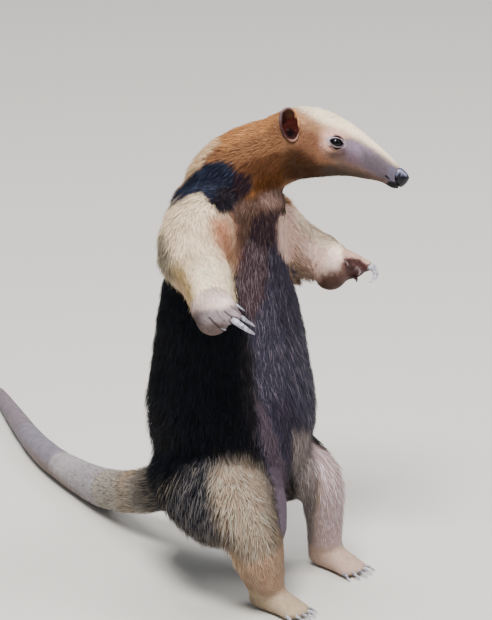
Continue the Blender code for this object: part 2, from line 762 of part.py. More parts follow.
def dressed(head, nodes, holder):
    """The head's eyes, ears and nose pad, each in its own seat."""
    seats = collection("seats")
    for word, sign in (("right", 1), ("left", -1)):
        nodes[f"eye_{word}"] = eyeball(f"eye_{word}", sign, holder)
        nodes[f"ear_{word}"] = ear(f"ear_{word}", sign, holder)
        eyeball(f"eye seat {word}", sign, seats, GAP)
        ear(f"ear seat {word}", sign, seats, plug=True)
    nodes["nose"] = nose_pad("nose", holder)
    nose_pad("nose seat", seats, 1.3 * GAP)
    boolean(head, "DIFFERENCE", seats)
    pits = collection("nostrils")
    for sign in (1, -1):
        side, ahead, up = NOSTRIL
        turn = axes(head_turn() @ Vector((0.95 * sign, -0.2, 0.25)), (0, 0, 1))
        ball("nostril", on_head(side * sign, ahead, up), (2.6, 1.5, 2.2), pits, turn, sides=12)
    boolean(nodes["nose"], "DIFFERENCE", pits)


def clawed(nodes, claws, holder):
    """Every claw, seated in its hand or foot."""
    for limb in ("hand_right", "hand_left", "foot_right", "foot_left"):
        side = limb.split("_")[1]
        kind = "toe_claw" if limb.startswith("foot") else "claw"
        seats = collection("claw seats")
        for claw in claws:
            name = claw[0]
            if name.startswith(kind) and name.endswith(side):
                nodes[name] = horn(name, claw, holder)
                horn(f"{name} seat", claw, seats, GAP)
        boolean(nodes[limb], "DIFFERENCE", seats)


def main():
    removed(bpy.data.objects)
    tamandua = collection("Southern tamandua")
    masses = collection("masses")
    claws = []
    torso_masses(masses)
    head_masses(masses)
    arm_masses("right", RIGHT_ARM, (-100, -29, 377), masses)
    arm_masses("left", LEFT_ARM, (100, 21, 312), masses)
    right_hand = (WRIST_R, (0.05, -0.95, -0.28), (-0.8, 0, 0.6), -1, RIGHT_HEEL, RIGHT_FINGERS)
    left_hand = (WRIST_L, (0.51, -0.84, 0), (0.57, 0.6, 0.5), 1, LEFT_HEEL, LEFT_FINGERS)
    hand_masses("right", *right_hand, masses, claws)
    hand_masses("left", *left_hand, masses, claws)
    loft("right leg", RIGHT_LEG, masses, rings=30)
    loft("right inner thigh", INNER_THIGH, masses, rings=12)
    loft("left leg", LEFT_LEG, masses, rings=30)
    foot_masses("right", ANKLE_R, TOES_R, masses, claws)
    foot_masses("left", ANKLE_L, TOES_L, masses, claws)
    loft("tail", TAIL, masses, rings=44)
    body = thinned(modelled(fused("body", masses, tamandua)))
    nodes = parted(body, tamandua)
    dressed(nodes["head"], nodes, tamandua)
    clawed(nodes, claws, tamandua)
    coats = {
        "golden_coat": material("golden_coat", (0.48, 0.25, 0.09), 0.85),
        "black_coat": material("black_coat", (0.012, 0.011, 0.013), 0.8),
        "cream_coat": material("cream_coat", (0.62, 0.46, 0.28), 0.85),
        "tawny_coat": material("tawny_coat", (0.42, 0.28, 0.16), 0.85),
        "bare_skin": material("bare_skin", (0.42, 0.31, 0.25), 0.6),
        "ear_skin": material("ear_skin", (0.10, 0.055, 0.05), 0.6),
        "eye": material("eye", (0.008, 0.006, 0.006), 0.08),
        "nose_skin": material("nose_skin", (0.02, 0.022, 0.03), 0.25),
        "horn": material("horn", (0.52, 0.48, 0.44), 0.45),
    }
    for name, node in nodes.items():
        worn = FLESH[name][1] if name in FLESH else "horn"
        for word, skin in (("eye_", "eye"), ("ear_", "ear_skin"), ("nose", "nose_skin")):
            if name.startswith(word):
                worn = skin
        node.data.materials.clear()
        node.data.materials.append(coats[worn])
    low = Vector([min((v.co[i] for n in nodes.values() for v in n.data.vertices)) for i in range(3)])
    high = Vector([max((v.co[i] for n in nodes.values() for v in n.data.vertices)) for i in range(3)])
    shift = Vector((-(low.x + high.x) / 2, -(low.y + high.y) / 2, -low.z))
    for node in nodes.values():
        node.data.transform(Matrix.Translation(shift))


main()
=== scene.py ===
import math

import bmesh
import bpy
import numpy as np
from mathutils import Matrix, Vector
from mathutils.kdtree import KDTree


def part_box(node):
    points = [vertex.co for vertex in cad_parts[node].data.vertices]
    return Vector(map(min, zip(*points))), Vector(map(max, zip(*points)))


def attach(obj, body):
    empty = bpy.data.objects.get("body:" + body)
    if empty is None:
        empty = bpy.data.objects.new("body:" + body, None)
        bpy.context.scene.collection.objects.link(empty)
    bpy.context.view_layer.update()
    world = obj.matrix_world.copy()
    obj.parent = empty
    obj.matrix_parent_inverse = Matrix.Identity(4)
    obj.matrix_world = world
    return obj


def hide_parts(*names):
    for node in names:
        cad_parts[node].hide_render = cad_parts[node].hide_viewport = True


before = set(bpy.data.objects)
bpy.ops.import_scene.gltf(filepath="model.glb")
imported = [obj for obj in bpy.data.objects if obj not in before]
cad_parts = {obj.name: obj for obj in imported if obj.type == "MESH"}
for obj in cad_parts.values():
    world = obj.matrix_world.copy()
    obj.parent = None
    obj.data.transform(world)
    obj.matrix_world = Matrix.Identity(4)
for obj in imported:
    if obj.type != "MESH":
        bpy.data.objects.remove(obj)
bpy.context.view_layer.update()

# The hide: one unbroken sheet of skin from the muzzle to the end of the tail, over solid flesh.
# It takes the place of all the solids of flesh and lies inside them by the depth of the coat.
# Lengths are in millimetres from the floor under the loins, where the right eye is at EYE_RIGHT.
MM = 0.001
EYE_RIGHT = (53.648, -90.241, 476.918)
eye_low, eye_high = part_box("eye_right")
ORIGIN = np.array((eye_low + eye_high) / 2) - np.array(EYE_RIGHT) * MM
HIDE_GRAIN = 0.0018
HIDE_OVERLAP = 0.0004
LIMBS = ("upper_arm", "forearm", "hand", "thigh", "shank", "foot")
FLESH = ["head", "neck", "torso", "tail_1", "tail_2", "tail_3", "tail_4"]
FLESH += [f"{limb}_{side}" for limb in LIMBS for side in ("right", "left")]

# The head's own axes: to its right, the way it faces and up, from a spot between the eyes
BETWEEN_EYES = np.array((66.0, -80.0, 466.0))
HEAD_AXES = np.array(((-0.70782, 0.68045, 0.18966), (-0.65727, -0.73279, 0.17611), (0.25882, 0, 0.96593)))
EYE_SEAT = np.array((18.3, -0.9, 6.4))
EYE_BALL = 6.3
EYE_OPENING = (6.2, 3.5)  # half the almond between the lids, along and across it
EYE_ALMOND, EYE_TILT = 1.75, 13.0
EYE_AXIS = np.array((0.95, 0.31, 0.07))
MOUTH = ((9.5, 49, -25.3), (8.9, 51.5, -27.8), (7.6, 54.5, -31.7), (5.6, 58.5, -35), (2.8, 62, -37), (0, 64, -38))


def unit(vectors):
    return vectors / np.maximum(np.linalg.norm(vectors, axis=-1, keepdims=True), 1e-9)


def eased(value):
    """0 below 0, 1 above 1 and a smooth rise between."""
    value = np.clip(value, 0, 1)
    return value * value * (3 - 2 * value)


def in_head(points):
    return (points - BETWEEN_EYES) @ HEAD_AXES


def from_head(points):
    return BETWEEN_EYES + np.asarray(points, float) @ HEAD_AXES.T


def wander(points, wavelength, seed):
    """A smooth random field between about -1 and 1 that changes over the wavelength."""
    rng = np.random.default_rng(seed)
    waves = unit(rng.normal(size=(9, 3))) * (2 * math.pi / wavelength) * rng.uniform(0.6, 1.5, (9, 1))
    return np.sin(points @ waves.T + rng.uniform(0, 2 * math.pi, 9)).sum(1) / 3.2


def placed_mesh(name, points, faces):
    """A mesh object with its points given in millimetres from the floor under the loins."""
    mesh = bpy.data.meshes.new(name)
    mesh.from_pydata((ORIGIN + points * MM).tolist(), [], faces.tolist())
    mesh.update()
    made = bpy.data.objects.new(name, mesh)
    bpy.context.scene.collection.objects.link(made)
    return made


def evaluated(obj):
    """The object's mesh with its modifiers applied, which replaces its own mesh."""
    mesh = bpy.data.meshes.new_from_object(obj.evaluated_get(bpy.context.evaluated_depsgraph_get()))
    obj.modifiers.clear()
    obj.data = mesh
    return mesh


def points_of(mesh):
    """A mesh's vertices in millimetres from the floor under the loins."""
    flat = np.empty(len(mesh.vertices) * 3)
    mesh.vertices.foreach_get("co", flat)
    return (flat.reshape(-1, 3) - ORIGIN) / MM


def triangles_of(mesh):
    flat = np.empty(len(mesh.polygons) * 3, int)
    mesh.loops.foreach_get("vertex_index", flat)
    return flat.reshape(-1, 3)


def normals_at(points, faces):
    """Unit normals at the points, from the triangles around each."""
    a, b, c = points[faces[:, 0]], points[faces[:, 1]], points[faces[:, 2]]
    cross = np.cross(b - a, c - a)
    total = np.zeros_like(points)
    for corner in range(3):
        for axis in range(3):
            total[:, axis] += np.bincount(faces[:, corner], cross[:, axis], len(points))
    return unit(total)


bm = bmesh.new()
for name in FLESH:
    bm.from_mesh(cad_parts[name].data)
bmesh.ops.remove_doubles(bm, verts=bm.verts, dist=1e-6)
bm.normal_update()
for vert in bm.verts:
    vert.co += vert.normal * HIDE_OVERLAP
hide_mesh = bpy.data.meshes.new("hide")
bm.to_mesh(hide_mesh)
bm.free()
hide = bpy.data.objects.new("hide", hide_mesh)
bpy.context.scene.collection.objects.link(hide)
fuse = hide.modifiers.new("fuse", "REMESH")
fuse.mode = "VOXEL"
fuse.voxel_size = HIDE_GRAIN
soften = hide.modifiers.new("soften", "SMOOTH")
soften.iterations = 7
soften.factor = 0.5
evaluated(hide)


def distance_to_line(points, line):
    """The distance of every point from a line of straight stretches."""
    nearest = np.full(len(points), 1e9)
    for a, b in zip(line, line[1:]):
        way = b - a
        share = np.clip((points - a) @ way / (way @ way), 0, 1)
        nearest = np.minimum(nearest, np.linalg.norm(points - a - share[:, None] * way, axis=1))
    return nearest


mouth_line = np.array([*MOUTH, *[(-side, ahead, up) for side, ahead, up in MOUTH[-2::-1]]])
eye_seats = [from_head(EYE_SEAT * (sign, 1, 1)) for sign in (1, -1)]
HANDS = ((-112, -106, 334), (96, -66, 328))


def face_reach(points):
    """How far each point is from the nearest fine feature of the face."""
    reach = distance_to_line(in_head(points), mouth_line)
    for seat in eye_seats:
        reach = np.minimum(reach, np.abs(np.linalg.norm(points - seat, axis=1) - 6))
    return reach


bm = bmesh.new()
bm.from_mesh(hide.data)
for limit, hand_limit in ((9.0, 27.0), (4.5, 0.0)):
    bm.verts.ensure_lookup_table()
    spots = (np.array([vert.co for vert in bm.verts]) - ORIGIN) / MM
    near = face_reach(spots) < limit
    for hand in HANDS:
        near |= np.linalg.norm(spots - hand, axis=1) < hand_limit
    for vert, flag in zip(bm.verts, near):
        vert.tag = bool(flag)
    edges = [edge for edge in bm.edges if edge.verts[0].tag and edge.verts[1].tag]
    bmesh.ops.subdivide_edges(bm, edges=edges, cuts=1, use_grid_fill=True)
bmesh.ops.triangulate(bm, faces=bm.faces)
bm.to_mesh(hide.data)
bm.free()

hide_points = points_of(hide.data)
hide_faces = triangles_of(hide.data)
hide_edges = np.empty(len(hide.data.edges) * 2, int)
hide.data.edges.foreach_get("vertices", hide_edges)
hide_edges = hide_edges.reshape(-1, 2)


def relaxed(values, rounds):
    """Values on the hide's vertices, averaged with their neighbours' that many times."""
    ends = np.concatenate([hide_edges[:, 0], hide_edges[:, 1]])
    others = np.concatenate([hide_edges[:, 1], hide_edges[:, 0]])
    counts = np.maximum(np.bincount(ends, minlength=len(hide_points)), 1)
    values = np.array(values, float)
    columns = values.reshape(len(values), -1)
    for _ in range(rounds):
        summed = [np.bincount(ends, columns[others, k], len(columns)) for k in range(columns.shape[1])]
        columns = 0.5 * columns + 0.5 * np.stack(summed, 1) / counts[:, None]
    return columns.reshape(values.shape)


# The lie of the coat: how the hairs grow at places all over the body, as on the living animal.
# Each row is a place, the way the hairs point, the hide's depth below their tips, their length,
# how far they stand up in degrees and half their lock's width. Between the places it changes smoothly.
BACKWARD = tuple(-HEAD_AXES[:, 1])
LIE = (
    (from_head((0, 60, -24)), BACKWARD, 0.2, 1.4, 12, 0.20),
    (from_head((0, 44, -8)), BACKWARD, 0.4, 1.8, 14, 0.22),
    (from_head((0, 40, -30)), BACKWARD, 0.4, 1.8, 14, 0.22),
    (from_head((0, 20, 14)), BACKWARD, 0.9, 3.4, 18, 0.27),
    (from_head((16, 20, -8)), BACKWARD, 0.5, 2.0, 14, 0.22),
    (from_head((-16, 20, -8)), BACKWARD, 0.5, 2.0, 14, 0.22),
    (from_head((0, -8, 32)), BACKWARD, 1.5, 5.0, 20, 0.27),
    (from_head((0, -45, 42)), BACKWARD, 2.2, 7.0, 22, 0.32),
    (from_head((24, -18, 2)), (-0.60, 0.68, -0.35), 1.6, 5.0, 20, 0.27),
    (from_head((-24, -18, 2)), (-0.60, 0.68, -0.35), 1.6, 5.0, 20, 0.27),
    (from_head((20, -1, 6)), BACKWARD, 0.5, 1.6, 14, 0.20),
    (from_head((-20, -1, 6)), BACKWARD, 0.5, 1.6, 14, 0.20),
    (from_head((0, 0, -34)), BACKWARD, 1.2, 4.0, 20, 0.26),
    (from_head((0, -34, -36)), (-0.5, 0.6, -0.6), 2.0, 7.0, 22, 0.32),
    ((-12, -14, 478), (-0.60, 0.75, -0.25), 3.6, 10, 24, 0.38),
    ((30, 0, 470), (-0.35, 0.85, -0.4), 3.6, 10, 24, 0.38),
    ((-34, -28, 448), (-0.45, 0.45, -0.75), 4.0, 11, 24, 0.38),
    ((40, -20, 436), (0.1, 0.5, -0.85), 4.0, 11, 24, 0.38),
    ((4, -60, 430), (-0.1, 0.1, -1), 4.0, 11, 26, 0.38),
    ((-30, 34, 444), (-0.1, 0.6, -0.8), 5.0, 14, 26, 0.42),
    ((-5, -60, 370), (-0.25, -0.15, -1), 6.0, 16, 34, 0.42),
    ((-5, -72, 310), (-0.15, -0.1, -1), 7.0, 18, 32, 0.44),
    ((0, -80, 240), (0.1, -0.05, -1), 7.0, 18, 26, 0.46),
    ((0, -76, 180), (0.05, 0.05, -1), 6.0, 16, 24, 0.46),
    ((-5, 68, 380), (0, 0.15, -1), 7.0, 17, 24, 0.46),
    ((2, 92, 280), (0, 0.05, -1), 8.0, 19, 24, 0.47),
    ((8, 104, 190), (0, 0.2, -1), 8.0, 20, 25, 0.47),
    ((8, 112, 110), (0, 0.8, -0.6), 8.0, 20, 26, 0.47),
    ((-72, 12, 330), (0, 0.1, -1), 7.0, 17, 24, 0.46),
    ((-84, 14, 240), (-0.02, 0.12, -1), 8.0, 19, 24, 0.47),
    ((-84, 40, 160), (-0.1, 0.35, -1), 8.0, 20, 26, 0.47),
    ((72, 14, 300), (0, 0.1, -1), 7.0, 17, 24, 0.46),
    ((92, 20, 220), (0.02, 0.12, -1), 8.0, 19, 24, 0.47),
    ((88, 44, 150), (0.1, 0.35, -1), 8.0, 20, 26, 0.47),
    ((-72, -20, 436), (-0.8, -0.25, -0.5), 5.0, 13, 24, 0.42),
    ((-112, -18, 402), (-0.35, -0.15, -0.95), 6.0, 15, 27, 0.42),
    ((-84, -64, 404), (-0.25, -0.55, -0.8), 5.0, 12, 22, 0.38),
    ((-116, -30, 366), (-0.15, 0.15, -1), 6.0, 17, 30, 0.42),
    ((-74, -72, 372), (-0.1, -0.5, -0.85), 4.5, 11, 22, 0.36),
    ((-120, -72, 360), (-0.1, -0.55, -0.8), 4.5, 11, 24, 0.36),
    ((-100, -90, 372), (-0.05, -0.75, -0.65), 3.6, 9, 20, 0.33),
    ((-112, -108, 350), (0.05, -0.9, -0.4), 0.9, 3.6, 16, 0.23),
    ((-118, -110, 324), (0.05, -0.6, -0.8), 0.5, 2.4, 16, 0.22),
    ((-108, -134, 336), (0.05, -0.95, -0.3), 0.4, 2.2, 14, 0.20),
    ((50, -10, 398), (0.75, 0.1, -0.65), 5.0, 13, 24, 0.40),
    ((86, 24, 362), (0.6, 0.3, -0.75), 5.5, 14, 26, 0.40),
    ((60, -30, 352), (0.6, -0.35, -0.7), 5.0, 12, 24, 0.38),
    ((128, 26, 320), (0.2, -0.3, -0.9), 5.5, 14, 26, 0.40),
    ((100, 36, 300), (0.1, 0.1, -1), 4.6, 12, 20, 0.40),
    ((100, -20, 358), (-0.2, -0.95, 0.0), 4.0, 10, 20, 0.35),
    ((92, -20, 306), (-0.2, -0.9, -0.4), 4.0, 10, 22, 0.35),
    ((92, -58, 354), (0.3, -0.95, 0), 0.9, 3.4, 16, 0.23),
    ((84, -56, 316), (0.3, -0.8, -0.4), 0.5, 2.4, 16, 0.22),
    ((108, -90, 330), (0.5, -0.85, 0), 0.4, 2.0, 14, 0.20),
    ((-96, -30, 140), (-0.25, -0.45, -0.85), 8.0, 21, 28, 0.44),
    ((-84, -80, 124), (-0.25, -0.3, -0.95), 7.0, 19, 28, 0.43),
    ((-78, -80, 78), (-0.15, 0.1, -1), 6.0, 17, 28, 0.41),
    ((-56, -112, 96), (0.15, -0.1, -1), 4.5, 13, 24, 0.38),
    ((-40, -108, 56), (0.25, -0.1, -1), 2.6, 8, 20, 0.32),
    ((-22, -66, 70), (0.25, 0, -1), 2.0, 6, 16, 0.30),
    ((-26, -106, 26), (0.15, -0.9, -0.5), 1.2, 4.4, 16, 0.27),
    ((-14, -134, 12), (0.15, -0.95, -0.2), 0.4, 2.4, 14, 0.22),
    ((98, -30, 140), (0.25, -0.35, -0.9), 5.5, 15, 18, 0.43),
    ((76, -76, 112), (0.1, -0.1, -1), 5.0, 13, 24, 0.40),
    ((96, -64, 76), (0.2, 0, -1), 3.6, 11, 24, 0.36),
    ((82, -62, 52), (0.2, 0, -1), 2.6, 8, 20, 0.32),
    ((98, -56, 24), (0.15, -0.9, -0.4), 1.2, 4.2, 16, 0.27),
    ((104, -88, 10), (0.15, -0.95, -0.2), 0.4, 2.4, 14, 0.22),
    ((-9, -69, 113), (0.1, -0.1, -1), 0.6, 3.0, 14, 0.24),
    ((-16, -83, 84), (0.1, -0.1, -1), 0.6, 3.0, 14, 0.24),
    ((0, -60, 130), (0, 0, -1), 3.0, 9, 20, 0.33),
    ((8, 132, 88), (0.02, 0.95, -0.35), 5.0, 15, 24, 0.42),
    ((8, 126, 40), (0.02, 0.95, -0.1), 4.0, 12, 22, 0.40),
    ((12, 190, 58), (0.1, 0.95, -0.3), 2.6, 9, 18, 0.33),
    ((26, 254, 42), (0.15, 0.95, -0.2), 1.4, 6.5, 15, 0.27),
    ((40, 326, 32), (0.2, 0.97, -0.05), 0.8, 4.5, 12, 0.27),
    ((62, 400, 26), (0.35, 0.93, 0), 0.4, 3.2, 10, 0.23),
    ((120, 530, 16), (0.45, 0.9, 0), 0.2, 2.4, 8, 0.20),
)
lie_places = np.array([row[0] for row in LIE], float)
lie_values = np.array([[*unit(np.array(row[1], float)), *row[2:]] for row in LIE])
lie = np.empty((len(hide_points), lie_values.shape[1]))
for start in range(0, len(hide_points), 20000):
    block = hide_points[start : start + 20000]
    gap = ((block[:, None, :] - lie_places[None]) ** 2).sum(2)
    weight = 1 / (gap + 30) ** 2.2
    lie[start : start + 20000] = weight @ lie_values / weight.sum(1, keepdims=True)
lie = relaxed(lie, 12)
hide_normals = normals_at(hide_points, hide_faces)
ear_boxes = [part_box(f"ear_{side}") for side in ("right", "left")]
ear_middles = [(np.array((low + high) / 2) - ORIGIN) / MM for low, high in ear_boxes]
by_ear = np.min([np.linalg.norm(hide_points - middle, axis=1) for middle in ear_middles], axis=0)
inset = lie[:, 3] * eased((by_ear - 10) / 16)

# The markings, painted over the hide and the coat alike: a black vest with a strap over each shoulder,
# a golden neck, a pale crown, cream arms, grizzled haunches and bare grey-pink skin on snout and hands.
# A tone is a colour, the colour of the odd hairs in it and their share. Colours are as a screen shows
# them, from 0 to 255. Patches have a middle and a reach, bands a line and a reach, both all round the
# body. The near side's marks have an outline, in millimetres across and down in the view from its front.
BASE_TONES = {
    "torso": ((2, 4, 11), (14, 18, 32), 0.15),
    "neck": ((180, 120, 68), (150, 94, 52), 0.2),
    "head": ((160, 118, 88), (138, 98, 70), 0.15),
    "upper_arm": ((206, 186, 154), (172, 152, 124), 0.2),
    "forearm": ((206, 174, 146), (180, 146, 118), 0.15),
    "hand_right": ((96, 80, 78), (138, 122, 118), 0.3),
    "hand_left": ((126, 94, 86), (160, 128, 116), 0.2),
    "thigh": ((18, 18, 23), (110, 100, 86), 0.2),
    "shank_left": ((178, 156, 146), (148, 128, 120), 0.25),
    "shank": ((154, 126, 104), (126, 100, 82), 0.25),
    "foot_right": ((178, 158, 132), (156, 134, 110), 0.2),
    "foot_left": ((190, 162, 146), (164, 136, 122), 0.2),
    "tail_1": ((166, 158, 148), (112, 104, 96), 0.4),
    "tail_2": ((160, 154, 158), (128, 120, 124), 0.2),
    "tail_3": ((124, 118, 130), (104, 98, 108), 0.2),
    "tail_4": ((122, 112, 120), (104, 96, 102), 0.2),
}
PATCHES = (
    ((0, -72, 250), (36, 38, 110), (38, 34, 38), (66, 58, 60), 0.25, 0.4),
    ((-26, 34, 432), (30, 32, 30), (204, 170, 124), (180, 140, 94), 0.25, 0.4),
    ((2, -64, 436), (24, 16, 18), (104, 68, 38), (136, 92, 54), 0.25, 0.5),
    ((40, -40, 376), (24, 30, 44), (196, 154, 116), (168, 124, 88), 0.25, 0.3),
    ((-112, -20, 396), (20, 38, 38), (186, 168, 140), (146, 128, 104), 0.3, 0.5),
    ((62, -22, 362), (42, 30, 34), (202, 162, 124), (176, 132, 96), 0.25, 0.5),
    ((98, -22, 314), (26, 32, 16), (172, 130, 98), (146, 106, 78), 0.25, 0.5),
    ((-70, -88, 104), (36, 38, 42), (182, 156, 124), (70, 64, 60), 0.25, 0.45),
    ((-92, -40, 108), (26, 34, 34), (48, 45, 46), (104, 98, 94), 0.45, 0.5),
    ((-60, -90, 70), (34, 30, 26), (180, 148, 116), (130, 106, 86), 0.3, 0.5),
    ((84, -66, 88), (30, 34, 40), (188, 156, 122), (146, 116, 92), 0.3, 0.5),
    ((60, -62, 124), (30, 22, 24), (88, 72, 68), (140, 118, 98), 0.35, 0.5),
    ((2, -50, 112), (20, 34, 36), (84, 68, 72), (104, 84, 84), 0.2, 0.5),
    ((6, 116, 66), (42, 40, 42), (46, 42, 42), (108, 98, 88), 0.4, 0.45),
    ((14, 168, 50), (30, 24, 34), (150, 124, 96), (100, 84, 70), 0.35, 0.5),
    ((44, 330, 6), (40, 120, 12), (120, 104, 98), (100, 86, 80), 0.2, 0.5),
)
BANDS = (
    (((24, -50, 408), (48, -34, 424), (60, -6, 424), (58, 26, 410), (44, 52, 392)), 15, (17, 20, 28), (42, 44, 54), 0.12, 0.25),
    (((-62, 20, 436), (-54, 40, 420), (-40, 58, 400)), 15, (17, 20, 28), (42, 44, 54), 0.12, 0.25),
)
BODY = ("torso", "neck", "upper_arm_right")
ARM = ("upper_arm_right", "forearm_right")
ARM_AND_SIDE = ("torso", *ARM)
LEFT_ARM = ("upper_arm_left", "forearm_left", "hand_left")
